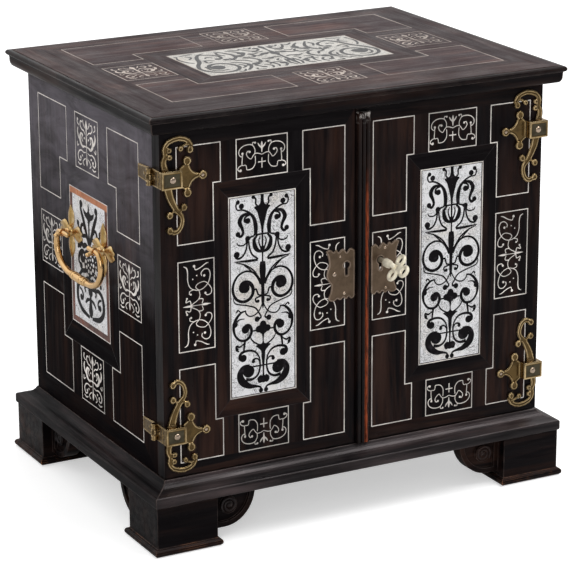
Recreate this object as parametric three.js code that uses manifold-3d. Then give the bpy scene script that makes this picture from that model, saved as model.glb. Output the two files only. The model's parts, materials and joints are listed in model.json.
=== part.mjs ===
// Cabinet casket: an ebonised table cabinet on scroll feet, with two doors, drawers and brass mounts.
// Millimetres. +Z is up and the doors face -Y; left and right are the viewer's.
import * as THREE from "three";
import { mergeVertices } from "three/addons/utils/BufferGeometryUtils.js";
import Module from "manifold-3d";

const wasm = await Module();
wasm.setup();

// Case: outside sizes of the body between its mouldings, and the boards that it is made of.
const caseWidth = 400;
const caseDepth = 294;
const caseHeight = 326.5;
const footHeight = 46.5;
const baseThickness = 20;
const innerTopThickness = 6.6;
const topThickness = 10;
const topOverhang = 11;
const sideThickness = 14;
const backThickness = 8;
const boardClearance = 0.15;

// Doors: they lie over the front edges of the case.
const doorThickness = 14.7;
const doorBackGap = 0.3;
const doorGapBelow = 1;
const doorGapAbove = 1.5;
const meetingX = -2;
const meetingGap = 1;

// Astragal: three reeds on a flat strip.
const astragalWidth = 13;
const astragalBase = 1.8;
const astragalTopGap = 4;
const reedCount = 3;
const reedHeight = 3.2;

// Cornice below and round the top board, and moulded frame round the base board.
const corniceReach = 16.4;
const beadRadius = 2.7;
const corniceStep = 13.4;
const ovoloFoot = 9.6;
const ovoloRise = 6.4;
const fasciaRise = 2.2;
const topGroove = 0.4;
const baseReach = 17.8;
const baseLipHeight = 10.6;
const baseLipRound = 2.2;
const slopeFoot = 11.4;
const slopeFootRise = 1.6;
const slopeHead = 0.9;
const slopeSag = 1.3;
const mitreTrim = 0.1;

// Feet: square blocks with a half-round lip all round, and scroll brackets on the two inner sides.
const footReach = 16;
const footWidth = 61;
const footLipReach = 4;
const footLipRadius = 3.7;
const footNeckHeight = 1.2;
const bracketReach = 44;
const bracketDrop = 34.7;
const bracketRound = 31;
const bracketSetBack = 10.5;
const bracketThickness = 14;
const bracketRim = 5;
const recessDepth = 3;
const voluteRadius = 8.5;
const voluteReach = 17;
const voluteDrop = 14;

// Inlaid panels: thin plates let in flush.
const panelThickness = 1.2;
const inlayDrop = 1;
const doorPanelWidth = 67.4;
const doorPanelHeight = 191;
const doorPanelInset = 1.4;
const sidePanelWidth = 74;
const sidePanelHeight = 122;
const sidePanelShift = 3;
const topPanelWidth = 200;
const topPanelDepth = 98;
const topPanelShiftX = 3;
const topPanelShiftY = 9;
const leftPanelShift = 2.75;
const rightPanelShift = 2.05;

// Hinges: case leaf with pin, and door leaf with a boss and pierced scrolls.
const hingeInset = 42;
const leafThickness = 1.6;
const barrelRadius = 3;
const barrelGap = 0.2;
const pinRadius = 1.5;
const pinClearance = 0.35;
const knuckleGap = 0.35;
const strapHeight = 16;
const caseLeafLength = 27;
const caseLeafTip = 12.5;
const bossWidth = 18.5;
const bossHeight = 6.5;
const fleurReach = 41.5;
const lobeReach = 26;
const lobeRise = 14.6;
const lobeRadius = 4.3;
const hookRise = 34;
const tailDrop = 50;
const bulbRadius = 3.4;
const smallBulbRadius = 2.7;
const scrollThickness = 2;
const scrollHalfWidth = 2.4;
const sprigHalfWidth = 1.2;
const tailRootHalfWidth = 4.4;
const bulbThickness = 3;
const nailRadius = 1.8;
const nailHeight = 1.1;
const nailSink = 0.3;
const bossNailRadius = 3.2;

// Lock plates, lock and key.
const plateWidth = 31;
const plateHeight = 51.5;
const plateThickness = 1.4;
const plateDrop = 8.5;
const plateEdgeGap = 0.6;
const rightPlateX = 14;
const scallopDepth = 2.6;
const lockX = 24;
const lockZ = 244;
const dummyKeyholeX = -11.8;
const keyholeSlotWidth = 3.4;
const keyholeSlotDrop = 10.5;
const dummyDepth = 6;
const shankRadius = 3;
const keyClearance = 0.6;
const keyTurn = THREE.MathUtils.degToRad(36);
const hubReach = 28;
const sideRingReach = 30.9;
const sideRingRise = 7.7;
const farRingReach = 44;
const ringRadius = 4.6;
const ringWire = 1.8;
const collarRadius = 4.1;
const collarReach = 8.5;
const collarLength = 12;
const bitReach = 8;
const bitThickness = 2.4;
const bitLength = 5;
const heartRadius = 4.8;
const bowThickness = 3.4;
const lockWidth = 42;
const lockHeight = 40;
const lockDepth = 9;
const lockWall = 2;
const lockPlateThickness = 1.5;
const lockEdge = 5.5;
const lockClearance = 0.3;
const boltHeight = 6;
const boltThickness = 4;
const boltLength = 35;
const boltRecess = 2;
const boltThrow = 7;

// Drop handles on the sides: a bail between two posts that rise from leaf rosettes.
const handleZ = 252.8;
const handleY = 13.1;
const postSpread = 36.9;
const pivotReach = 10;
const hubRadius = 5.5;
const stemRadius = 2.6;
const stemHeight = 6;
const tipReach = 19;
const tipRadius = 1.2;
const longLeaf = 26;
const shortLeaf = 25;
const longLeafWidth = 14;
const shortLeafWidth = 11;
const leafPlate = 2.2;
const eyeWire = 2.2;
const eyeWidth = 3.6;
const bailWire = 2.5;
const eyeClearance = 0.3;
const bailSpread = 54;
const bailDrop = 36;
const bailStub = 10;
const gripLength = 40;
const gripRadius = 4.4;

// Interior: one upright and two shelves make two columns of three drawers.
const dividerThickness = 8;
const shelfThickness = 6;
const drawerRows = 3;
const drawerRecess = 12;
const drawerClearance = 0.5;
const drawerFrontThickness = 10;
const drawerWall = 6;
const drawerFloor = 4;
const drawerBackGap = 2;
const knobLength = 9;
const knobRadius = 4.6;

// Fineness of round stretches, and how far a cutting shape runs past what it cuts.
const overrun = 1;
const fineSteps = 24;
const discSteps = 12;
const wireSides = 8;
const bulbSides = 10;
const ringSides = 6;
const sprigSteps = 4;

// Places worked out from the sizes above.
const plateMidZ = lockZ - plateDrop;
const halfWidth = caseWidth / 2;
const halfDepth = caseDepth / 2;
const doorFace = -halfDepth;
const doorBack = doorFace + doorThickness;
const jointY = doorBack + doorBackGap;
const floorZ = footHeight + baseThickness;
const roofZ = floorZ + caseHeight;
const topBoardZ = roofZ + innerTopThickness;
const crownZ = topBoardZ + topThickness;
const doorBottom = floorZ + doorGapBelow;
const doorTop = roofZ - doorGapAbove;
const doorMidZ = (doorBottom + doorTop) / 2;
const leftDoorEdge = meetingX - meetingGap / 2;
const rightDoorEdge = meetingX + meetingGap / 2;
const hingeX = -(halfWidth + barrelGap + barrelRadius);
const hingeY = jointY - doorBackGap / 2;
const innerHalf = halfWidth - sideThickness;
const sideMidY = (jointY + halfDepth) / 2;
const sideMidZ = (floorZ + roofZ) / 2;
const frontReach = halfDepth + farRingReach + ringRadius + ringWire;
const backReach = halfDepth + footReach + footLipReach;

const cabinet = new THREE.Group();
cabinet.position.y = (frontReach - backReach) / 2;

function ebony() {
  return new THREE.MeshStandardMaterial({ color: 0x1b1718, roughness: 0.42, metalness: 0 });
}

function ivory() {
  return new THREE.MeshStandardMaterial({ color: 0xe6dfd2, roughness: 0.5, metalness: 0 });
}

function agedBrass() {
  return new THREE.MeshStandardMaterial({ color: 0x9a7b45, roughness: 0.45, metalness: 1 });
}

function brightBrass() {
  return new THREE.MeshStandardMaterial({ color: 0xe0c98c, roughness: 0.3, metalness: 1 });
}

function iron() {
  return new THREE.MeshStandardMaterial({ color: 0x55504b, roughness: 0.55, metalness: 1 });
}

function walnut() {
  return new THREE.MeshStandardMaterial({ color: 0x5a3a26, roughness: 0.55, metalness: 0 });
}

function add(name, geometry, material) {
  const mesh = new THREE.Mesh(geometry, material());
  mesh.name = name;
  cabinet.add(mesh);
}

function toSolid(geometry) {
  const bare = geometry.clone();
  bare.deleteAttribute("normal");
  bare.deleteAttribute("uv");
  const merged = mergeVertices(bare);
  return new wasm.Manifold(new wasm.Mesh({
    numProp: 3,
    vertProperties: new Float32Array(merged.attributes.position.array),
    triVerts: new Uint32Array(merged.index.array),
  }));
}

function fromSolid(solid) {
  const mesh = solid.getMesh();
  const geometry = new THREE.BufferGeometry();
  geometry.setAttribute("position", new THREE.BufferAttribute(mesh.vertProperties, 3));
  geometry.setIndex(new THREE.BufferAttribute(mesh.triVerts, 1));
  geometry.computeVertexNormals();
  return geometry;
}

function joined(...pieces) {
  return fromSolid(pieces.map(toSolid).reduce((whole, piece) => whole.add(piece)));
}

function cutBy(body, ...tools) {
  return fromSolid(tools.map(toSolid).reduce((whole, tool) => whole.subtract(tool), toSolid(body)));
}

// Mirrors a geometry by signs of one along each axis and keeps its faces pointing out.
function flipped(geometry, signX, signY, signZ) {
  const copy = geometry.index ? geometry.toNonIndexed() : geometry.clone();
  copy.scale(signX, signY, signZ);
  if (signX * signY * signZ < 0) {
    const place = copy.attributes.position;
    const first = new THREE.Vector3();
    const second = new THREE.Vector3();
    for (let corner = 0; corner < place.count; corner += 3) {
      first.fromBufferAttribute(place, corner + 1);
      second.fromBufferAttribute(place, corner + 2);
      place.setXYZ(corner + 1, second.x, second.y, second.z);
      place.setXYZ(corner + 2, first.x, first.y, first.z);
    }
  }
  copy.computeVertexNormals();
  return copy;
}

function block(x0, x1, y0, y1, z0, z1) {
  const box = new THREE.BoxGeometry(x1 - x0, y1 - y0, z1 - z0);
  return box.translate((x0 + x1) / 2, (y0 + y1) / 2, (z0 + z1) / 2);
}

// A closed mesh of corner points and triangles.
function meshOf(corners, triangles) {
  const geometry = new THREE.BufferGeometry();
  geometry.setAttribute("position", new THREE.Float32BufferAttribute(corners.flat(), 3));
  geometry.setIndex(triangles.flat());
  geometry.computeVertexNormals();
  return geometry;
}

function shapeOf(points) {
  return new THREE.Shape(points.map(([across, up]) => new THREE.Vector2(across, up)));
}

function slab(shape, thickness) {
  const settings = { depth: thickness, bevelEnabled: false, curveSegments: discSteps };
  return new THREE.ExtrudeGeometry(shape, settings);
}

// A plate drawn in X and Z that stands out from the plane y = backY towards -Y.
function frontPlate(shape, backY, thickness) {
  return slab(shape, thickness).rotateX(Math.PI / 2).translate(0, backY, 0);
}

// A plate drawn in Y and Z that grows from the plane x = startX towards +X.
function sidePlate(shape, startX, thickness) {
  const turn = new THREE.Matrix4().set(0, 0, 1, startX, 1, 0, 0, 0, 0, 1, 0, 0, 0, 0, 0, 1);
  return slab(shape, thickness).applyMatrix4(turn);
}

function frontDisc(x, z, radius, backY, thickness, sides = discSteps) {
  const disc = new THREE.CylinderGeometry(radius, radius, thickness, sides);
  return disc.translate(x, backY - thickness / 2, z);
}

function upright(x, y, radius, z0, z1) {
  const rod = new THREE.CylinderGeometry(radius, radius, z1 - z0, fineSteps);
  return rod.rotateX(Math.PI / 2).translate(x, y, (z0 + z1) / 2);
}

// A turned piece about Y, from a profile given as shares of a radius and of a length.
function turned(shares, radius, length, sides) {
  const profile = scaled(shares, radius, length).map(([out, up]) => new THREE.Vector2(out, up));
  return new THREE.LatheGeometry(profile, sides);
}

// A rounded nail head, turned about Y, with its flat back on the plane y = backY.
function frontNail(x, z, radius, backY) {
  const nailShares = [[0, 0], [1, 0], [0.8, 0.6], [0.4, 0.9], [0, 1]];
  const nail = turned(nailShares, radius, nailHeight, wireSides);
  return nail.rotateX(Math.PI).translate(x, backY, z);
}

// A nail head that faces -X.
function sideNail(y, z, radius, backX) {
  return frontNail(0, 0, radius, 0).rotateZ(-Math.PI / 2).translate(backX, y, z);
}

// A flat stroke along a spline through points, whose half width runs from one end value to the other.
function stroke(points, startHalf, endHalf, steps = bulbSides) {
  const spine = new THREE.SplineCurve(points.map(([across, up]) => new THREE.Vector2(across, up)));
  const leftSide = [];
  const rightSide = [];
  for (let step = 0; step <= steps; step += 1) {
    const along = step / steps;
    const point = spine.getPoint(along);
    const tangent = spine.getTangent(along);
    const half = startHalf + (endHalf - startHalf) * along;
    leftSide.push([point.x - tangent.y * half, point.y + tangent.x * half]);
    rightSide.unshift([point.x + tangent.y * half, point.y - tangent.x * half]);
  }
  return shapeOf([...rightSide, ...leftSide]);
}

function scaled(shares, across, up) {
  return shares.map(([acrossShare, upShare]) => [acrossShare * across, upShare * up]);
}

// A moulding along X that faces -Y, with mitred ends. The profile's points are [out, up], anticlockwise.
function mouldingStrip(profile, halfLength, halfAcross) {
  const count = profile.length;
  const corners = [];
  for (const end of [-1, 1]) {
    for (const [out, up] of profile) {
      corners.push([end * (halfLength + out - mitreTrim), -(halfAcross + out), up]);
    }
  }
  const outline = profile.map(([out, up]) => new THREE.Vector2(out, up));
  const triangles = [];
  for (const [a, b, c] of THREE.ShapeUtils.triangulateShape(outline, [])) {
    triangles.push([a, b, c], [c + count, b + count, a + count]);
  }
  for (let here = 0; here < count; here += 1) {
    const next = (here + 1) % count;
    triangles.push([next, here, here + count], [next, here + count, next + count]);
  }
  return meshOf(corners, triangles);
}

function addFrame(name, profile) {
  const sides = [["front", 0], ["right", 1], ["back", 2], ["left", 3]];
  for (const [side, quarter] of sides) {
    const alongX = quarter % 2 === 0;
    const strip = alongX
      ? mouldingStrip(profile, halfWidth, halfDepth)
      : mouldingStrip(profile, halfDepth, halfWidth);
    add(`${name}_${side}`, strip.rotateZ(quarter * Math.PI / 2), ebony);
  }
}

function arc(centreOut, centreUp, radiusOut, radiusUp, startAngle, endAngle, steps) {
  const points = [];
  for (let step = 0; step <= steps; step += 1) {
    const angle = startAngle + (endAngle - startAngle) * step / steps;
    points.push([centreOut + radiusOut * Math.cos(angle), centreUp + radiusUp * Math.sin(angle)]);
  }
  return points;
}

// Points once round a circle, as plane vectors.
function ringPoints(across, up, radius, sides) {
  const points = arc(across, up, radius, radius, 0, 2 * Math.PI, sides).slice(1);
  return points.map(([x, y]) => new THREE.Vector2(x, y));
}

// Cornice: an ovolo and a fascia under the top board's edge, and a bead beside that edge.
function corniceProfile() {
  const beadZ = crownZ - topGroove - beadRadius;
  const fasciaZ = beadZ - beadRadius;
  const quarter = Math.PI / 2;
  const ovoloTop = roofZ + ovoloRise;
  return [
    [0, roofZ],
    [ovoloFoot, roofZ],
    ...arc(ovoloFoot, ovoloTop, corniceStep - ovoloFoot, ovoloRise, -quarter, 0, 5).slice(1),
    [corniceStep, Math.min(ovoloTop + fasciaRise, fasciaZ)],
    ...arc(corniceReach - beadRadius, beadZ, beadRadius, beadRadius, -quarter, quarter, 8),
    [topOverhang + boardClearance, crownZ - topGroove],
    [topOverhang + boardClearance, topBoardZ],
    [0, topBoardZ],
  ];
}

// Base moulding: a rounded lip below, then a hollow slope up to the case.
function baseProfile() {
  const quarter = Math.PI / 2;
  const lipTop = footHeight + baseLipHeight;
  const slopeZ = lipTop + slopeFootRise;
  const lipMid = baseReach - baseLipRound;
  const slope = [];
  const steps = 5;
  for (let step = 0; step <= steps; step += 1) {
    const along = step / steps;
    const dip = slopeSag * Math.sin(Math.PI * along);
    const out = slopeFoot + (slopeHead - slopeFoot) * along;
    const up = slopeZ + (floorZ - slopeZ) * along;
    slope.push([out - dip, up - dip]);
  }
  return [
    [0, footHeight],
    ...arc(lipMid, footHeight + baseLipRound, baseLipRound, baseLipRound, -quarter, 0, 4),
    ...arc(lipMid, lipTop - baseLipRound, baseLipRound, baseLipRound, 0, quarter, 4),
    ...slope,
    [0, floorZ],
  ];
}

// A block whose four sides step out and in with height; each level is [reach, z].
function steppedBlock(x0, x1, y0, y1, levels) {
  const corners = [];
  const triangles = [];
  for (const [reach, z] of levels) {
    corners.push([x0 - reach, y0 - reach, z], [x1 + reach, y0 - reach, z]);
    corners.push([x1 + reach, y1 + reach, z], [x0 - reach, y1 + reach, z]);
  }
  for (let level = 0; level + 1 < levels.length; level += 1) {
    for (let side = 0; side < 4; side += 1) {
      const a = level * 4 + side;
      const b = level * 4 + (side + 1) % 4;
      triangles.push([a, b, b + 4], [a, b + 4, a + 4]);
    }
  }
  const last = corners.length - 4;
  triangles.push([0, 2, 1], [0, 3, 2], [last, last + 1, last + 2], [last, last + 2, last + 3]);
  return meshOf(corners, triangles);
}

// One scroll bracket drawn along X from a block's inner face at 0, with its front face on y = 0.
function bracket() {
  const quarter = Math.PI / 2;
  const middle = bracketReach - bracketRound;
  const outer = arc(middle, footHeight, bracketRound, bracketDrop, 0, -quarter, discSteps);
  const body = shapeOf([[-overrun, footHeight - bracketDrop], [-overrun, footHeight], ...outer]);
  const innerRound = bracketRound - bracketRim;
  const inner = arc(middle, footHeight, innerRound, bracketDrop - bracketRim, 0, -quarter, discSteps);
  const hollow = shapeOf([[bracketRim, footHeight - bracketDrop + bracketRim],
    [bracketRim, footHeight + overrun], [bracketReach - bracketRim, footHeight + overrun], ...inner]);
  const volute = ringPoints(voluteReach, footHeight - voluteDrop, voluteRadius, discSteps);
  hollow.holes.push(new THREE.Path(volute));
  const solid = frontPlate(body, bracketThickness, bracketThickness);
  return cutBy(solid, frontPlate(hollow, recessDepth, recessDepth + overrun));
}

// The left front foot: its block, lip and two brackets.
function foot() {
  const outerX = -(halfWidth + footReach);
  const outerY = -(halfDepth + footReach);
  const innerX = outerX + footWidth;
  const innerY = outerY + footWidth;
  const lip = arc(footLipReach - footLipRadius, footLipRadius, footLipRadius, footLipRadius,
    -Math.PI / 2, Math.PI / 2, 6);
  const lipTop = 2 * footLipRadius;
  const levels = [...lip, [0, lipTop + footNeckHeight], [0, footHeight]];
  const along = bracket().translate(innerX, outerY + bracketSetBack, 0);
  const back = flipped(bracket(), 1, -1, 1).rotateZ(Math.PI / 2);
  back.translate(outerX + bracketSetBack, innerY, 0);
  return joined(steppedBlock(outerX, innerX, outerY, innerY, levels), along, back);
}

function addFeet() {
  const corner = foot();
  const places = [["front_left", 1, 1], ["front_right", -1, 1], ["back_left", 1, -1], ["back_right", -1, -1]];
  for (const [place, signX, signY] of places) {
    add(`foot_${place}`, flipped(corner, signX, signY, 1), ebony);
  }
}

function addCase() {
  add("base_board", block(-halfWidth, halfWidth, -halfDepth, halfDepth, footHeight, floorZ), ebony);
  add("inner_top", block(-halfWidth, halfWidth, -halfDepth, halfDepth, roofZ, topBoardZ), ebony);
  const side = block(-halfWidth, -innerHalf, jointY, halfDepth, floorZ, roofZ);
  const left = cutBy(side, sidePanel(boardClearance, overrun));
  add("left_side_board", left, ebony);
  add("right_side_board", flipped(left, -1, 1, 1), ebony);
  const backY = halfDepth - backThickness;
  const backHalf = innerHalf - boardClearance;
  add("back_board", block(-backHalf, backHalf, backY, halfDepth, floorZ, roofZ), ebony);
  const topX = halfWidth + topOverhang;
  const topY = halfDepth + topOverhang;
  const board = block(-topX, topX, -topY, topY, topBoardZ, crownZ);
  add("top_board", cutBy(board, topPanel(boardClearance, overrun)), ebony);
}

// The left side's inlaid panel, or with a margin and a rise the pocket that takes it.
function sidePanel(margin, rise) {
  const halfY = sidePanelWidth / 2 + margin;
  const halfZ = sidePanelHeight / 2 + margin;
  const midZ = sideMidZ + inlayDrop;
  const midY = sideMidY + sidePanelShift;
  return block(-halfWidth - rise, -halfWidth + panelThickness,
    midY - halfY, midY + halfY, midZ - halfZ, midZ + halfZ);
}

function topPanel(margin, rise) {
  const halfX = topPanelWidth / 2 + margin;
  const halfY = topPanelDepth / 2 + margin;
  return block(topPanelShiftX - halfX, topPanelShiftX + halfX, topPanelShiftY - halfY, topPanelShiftY + halfY,
    crownZ - panelThickness, crownZ + rise);
}

function doorPanel(midX, margin, rise) {
  const halfX = doorPanelWidth / 2 - doorPanelInset + margin;
  const halfZ = doorPanelHeight / 2 - doorPanelInset + margin;
  const midZ = doorMidZ - inlayDrop;
  return block(midX - halfX, midX + halfX, doorFace - rise, doorFace + panelThickness,
    midZ - halfZ, midZ + halfZ);
}

// A keyhole drawn in X and Z: a round head over a slot, with a margin for the shank.
function keyholeShape(x, z, radius) {
  const halfSlot = keyholeSlotWidth / 2;
  const start = -Math.asin(halfSlot / radius) - Math.PI / 2;
  const sweep = 2 * Math.PI - 2 * Math.asin(halfSlot / radius);
  const head = arc(x, z, radius, radius, start, start - sweep, discSteps);
  return shapeOf([[x + halfSlot, z - keyholeSlotDrop], [x - halfSlot, z - keyholeSlotDrop], ...head]);
}

function boltBlock(startX, endX, margin) {
  const lift = bitReach + keyClearance;
  const boltY = doorBack - lockPlateThickness - boltThickness / 2 - lockWall;
  return block(startX, endX, boltY - boltThickness / 2 - margin, boltY + boltThickness / 2 + margin,
    lockZ + lift - margin, lockZ + lift + boltHeight + margin);
}

// Lock case: a shallow tray let into the back of the right door, open towards the door's front.
function lockCaseBlock(margin) {
  const startX = rightDoorEdge + lockEdge;
  return block(startX - margin, startX + lockWidth + margin, doorBack - lockDepth - margin, doorBack,
    lockZ - lockHeight / 2 - margin, lockZ + lockHeight / 2 + margin);
}

function lockCase() {
  const startX = rightDoorEdge + lockEdge;
  const hollow = block(startX + lockWall, startX + lockWidth - lockWall,
    doorBack - lockDepth - overrun, doorBack - lockPlateThickness,
    lockZ - lockHeight / 2 + lockWall, lockZ + lockHeight / 2 - lockWall);
  const slot = boltBlock(startX - overrun, startX + lockWall + overrun, lockClearance);
  return cutBy(lockCaseBlock(0), hollow, slot);
}

function addLock() {
  add("lock_case", lockCase(), iron);
  const tip = rightDoorEdge + boltRecess;
  add("lock_bolt", boltBlock(tip, tip + boltLength, 0), iron);
  add("key", key(), brightBrass);
}

// Key: shank along Y, bow plane through the shank, bit below, all turned as it stands in the lock.
function key() {
  const tipY = doorBack - lockPlateThickness - lockClearance;
  const hubY = doorFace - hubReach;
  const shank = new THREE.CylinderGeometry(shankRadius, shankRadius, tipY - hubY, discSteps);
  shank.translate(0, (tipY + hubY) / 2, 0);
  const collar = new THREE.CylinderGeometry(collarRadius, collarRadius, collarLength, discSteps);
  collar.translate(0, doorFace - collarReach - collarLength / 2, 0);
  const bitBack = tipY - lockClearance;
  const bit = block(-bitThickness / 2, bitThickness / 2, bitBack - bitLength, bitBack, -bitReach, 0);
  const centres = [[sideRingReach, sideRingRise], [sideRingReach, -sideRingRise], [farRingReach, 0]];
  const rings = centres.map(([reach, rise]) => {
    const ring = new THREE.TorusGeometry(ringRadius, ringWire, ringSides, discSteps);
    return ring.rotateY(Math.PI / 2).translate(0, doorFace - reach, rise);
  });
  const heart = new THREE.SphereGeometry(heartRadius, discSteps, wireSides);
  heart.scale(bowThickness / (2 * heartRadius), 1, 1);
  heart.translate(0, doorFace - (2 * sideRingReach + farRingReach) / 3, 0);
  const web = new THREE.SphereGeometry(shankRadius, discSteps, wireSides).translate(0, hubY, 0);
  const whole = joined(shank, collar, bit, ...rings, heart, web);
  return whole.rotateY(keyTurn).translate(lockX, 0, lockZ);
}

// Lock plate: a rectangle with scalloped top, bottom and outer edges. Its inner edge is straight.
function lockPlateShape(innerX, side) {
  const halfHeight = plateHeight / 2;
  const points = [];
  const lobes = (count, place) => {
    const steps = count * 5;
    for (let step = 0; step < steps; step += 1) {
      const along = step / steps;
      const bulge = scallopDepth * Math.abs(Math.sin(Math.PI * count * along));
      points.push(place(along, bulge));
    }
  };
  const core = plateWidth - scallopDepth;
  const coreHalf = halfHeight - scallopDepth;
  lobes(3, (along, bulge) => [core * along, coreHalf + bulge]);
  lobes(4, (along, bulge) => [core + bulge, coreHalf * (1 - 2 * along)]);
  lobes(4, (along, bulge) => [core * (1 - along), -coreHalf - bulge]);
  points.push([0, -coreHalf]);
  return shapeOf(points.map(([across, up]) => [innerX + side * across, plateMidZ + up]));
}

function lockPlate(innerX, side, keyholeX, keyholeRadius, nailPlaces) {
  const plate = frontPlate(lockPlateShape(innerX, side), doorFace, plateThickness);
  const hole = frontPlate(keyholeShape(keyholeX, lockZ, keyholeRadius), doorFace + overrun,
    plateThickness + 2 * overrun);
  const nails = nailPlaces.map(([acrossShare, upShare]) => frontNail(
    innerX + side * acrossShare * plateWidth, plateMidZ + upShare * plateHeight, nailRadius,
    doorFace - plateThickness + nailSink));
  return joined(cutBy(plate, hole), ...nails);
}

function addLockPlates() {
  const holeRadius = shankRadius + keyClearance;
  const leftNailShares = [[0.5, 0.34], [0.7, 0.02], [0.36, -0.36]];
  const rightNailShares = [[0.48, 0.38], [0.52, -0.38]];
  const leftX = leftDoorEdge - plateEdgeGap;
  add("left_lock_plate", lockPlate(leftX, -1, dummyKeyholeX, holeRadius, leftNailShares), agedBrass);
  add("right_lock_plate", lockPlate(rightPlateX, 1, lockX, holeRadius, rightNailShares), agedBrass);
}

function addDoors() {
  const holeRadius = shankRadius + keyClearance;
  const leftMid = (-halfWidth + leftDoorEdge) / 2 + leftPanelShift;
  const rightMid = (halfWidth + rightDoorEdge) / 2 + rightPanelShift;
  const left = block(-halfWidth, leftDoorEdge, doorFace, doorBack, doorBottom, doorTop);
  const mortise = boltBlock(leftDoorEdge - boltThrow, leftDoorEdge + overrun, lockClearance);
  const dummyHole = keyholeShape(dummyKeyholeX, lockZ, holeRadius);
  const dummy = frontPlate(dummyHole, doorFace + dummyDepth, dummyDepth + overrun);
  add("left_door", cutBy(left, doorPanel(leftMid, boardClearance, overrun), mortise, dummy), ebony);
  const right = block(rightDoorEdge, halfWidth, doorFace, doorBack, doorBottom, doorTop);
  const pocket = lockCaseBlock(lockClearance).translate(0, overrun, 0);
  const pocketFront = lockCaseBlock(lockClearance);
  const slot = boltBlock(rightDoorEdge - overrun, rightDoorEdge + lockEdge + overrun, lockClearance);
  const keyway = frontPlate(keyholeShape(lockX, lockZ, holeRadius), doorBack, doorThickness + overrun);
  const panel = doorPanel(rightMid, boardClearance, overrun);
  add("right_door", cutBy(right, panel, pocket, pocketFront, slot, keyway), ebony);
  add("left_door_panel", doorPanel(leftMid, 0, 0), ivory);
  add("right_door_panel", doorPanel(rightMid, 0, 0), ivory);
  add("left_side_panel", sidePanel(0, 0), ivory);
  add("right_side_panel", flipped(sidePanel(0, 0), -1, 1, 1), ivory);
  add("top_panel", topPanel(0, 0), ivory);
  add("astragal", astragal(), ebony);
}

// Astragal: reeds side by side, drawn in X and the way out from the door, run up the meeting edge.
function astragal() {
  const reedWidth = astragalWidth / reedCount;
  const points = [[0, 0]];
  for (let reed = 0; reed < reedCount; reed += 1) {
    const centre = (reed + 1 / 2) * reedWidth;
    const crest = arc(centre, astragalBase, reedWidth / 2, reedHeight, Math.PI, 0, wireSides);
    points.push(...(reed === 0 ? crest : crest.slice(1)));
  }
  points.push([astragalWidth, 0]);
  const strip = slab(shapeOf(points), doorTop - astragalTopGap - doorBottom);
  return flipped(strip, 1, -1, 1).translate(rightDoorEdge, doorFace, doorBottom);
}

// A flat scroll on the door's face, along points given as shares of the hinge's reach and of a rise.
function scroll(shares, rise, startHalf, endHalf, steps = bulbSides) {
  const shape = stroke(scaled(shares, fleurReach, rise), startHalf, endHalf, steps);
  return frontPlate(shape, doorFace, scrollThickness);
}

function bulbs(shares, rise, radius) {
  const places = scaled(shares, fleurReach, rise);
  return places.map(([x, z]) => frontDisc(x, z, radius, doorFace, bulbThickness, bulbSides));
}

// Fleur beside the strap: a plate with hollow sides between two lobes and the tip.
function hingeFleur() {
  const half = strapHeight / 2;
  const neck = lobeRadius / 2;
  const fleur = new THREE.Shape();
  fleur.moveTo(bossWidth, -half);
  fleur.lineTo(bossWidth, half);
  fleur.lineTo(lobeReach - neck, lobeRise - neck);
  fleur.lineTo(lobeReach + neck, lobeRise - neck);
  fleur.quadraticCurveTo(lobeReach + lobeRadius, neck, fleurReach - neck, neck);
  fleur.lineTo(fleurReach - neck, -neck);
  fleur.quadraticCurveTo(lobeReach + lobeRadius, -neck, lobeReach + neck, -lobeRise + neck);
  fleur.lineTo(lobeReach - neck, -lobeRise + neck);
  const places = [[lobeReach, lobeRise], [lobeReach, -lobeRise], [fleurReach, 0]];
  const lobes = places.map(([x, z]) => frontDisc(x, z, lobeRadius, doorFace, bulbThickness, bulbSides));
  return [frontPlate(fleur, doorFace, scrollThickness), ...lobes];
}

// Hook above the strap: a neck with two buds, then a C that curls in to two bulbs.
function hingeHook() {
  const neckShares = [[0.12, 0.2], [0.08, 0.45], [0.14, 0.64]];
  const armShares = [[0.14, 0.6], [0.1, 0.78], [0.2, 0.97], [0.46, 1.05], [0.68, 0.94], [0.74, 0.76]];
  const curlShares = [[0.68, 0.88], [0.58, 0.85], [0.48, 0.78]];
  const budShares = [[0.22, 0.57], [0.21, 0.76], [0.48, 0.77]];
  const endShares = [[0.7, 0.72]];
  return [
    scroll(neckShares, hookRise, bulbRadius, scrollHalfWidth),
    scroll(armShares, hookRise, scrollHalfWidth, scrollHalfWidth),
    scroll(curlShares, hookRise, sprigHalfWidth, sprigHalfWidth, sprigSteps),
    ...bulbs(budShares, hookRise, smallBulbRadius),
    ...bulbs(endShares, hookRise, bulbRadius),
  ];
}

// Tail below the strap: an S that throws off a bulb on each side and ends in a hook.
function hingeTail() {
  const rootShares = [[0.16, -0.12], [0.22, -0.34], [0.34, -0.55], [0.46, -0.68]];
  const turnShares = [[0.38, -0.58], [0.5, -0.74], [0.46, -0.92], [0.34, -1.0], [0.22, -0.96]];
  const sprigShares = [[0.54, -0.57], [0.46, -0.62], [0.4, -0.64]];
  const stalkShares = [[0.28, -0.5], [0.3, -0.6], [0.22, -0.68]];
  const endShares = [[0.54, -0.55], [0.2, -0.67], [0.2, -0.95]];
  return [
    scroll(rootShares, tailDrop, tailRootHalfWidth, scrollHalfWidth),
    scroll(turnShares, tailDrop, scrollHalfWidth, scrollHalfWidth),
    scroll(sprigShares, tailDrop, sprigHalfWidth, sprigHalfWidth, sprigSteps),
    scroll(stalkShares, tailDrop, sprigHalfWidth, sprigHalfWidth, sprigSteps),
    ...bulbs(endShares, tailDrop, bulbRadius),
  ];
}

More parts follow.
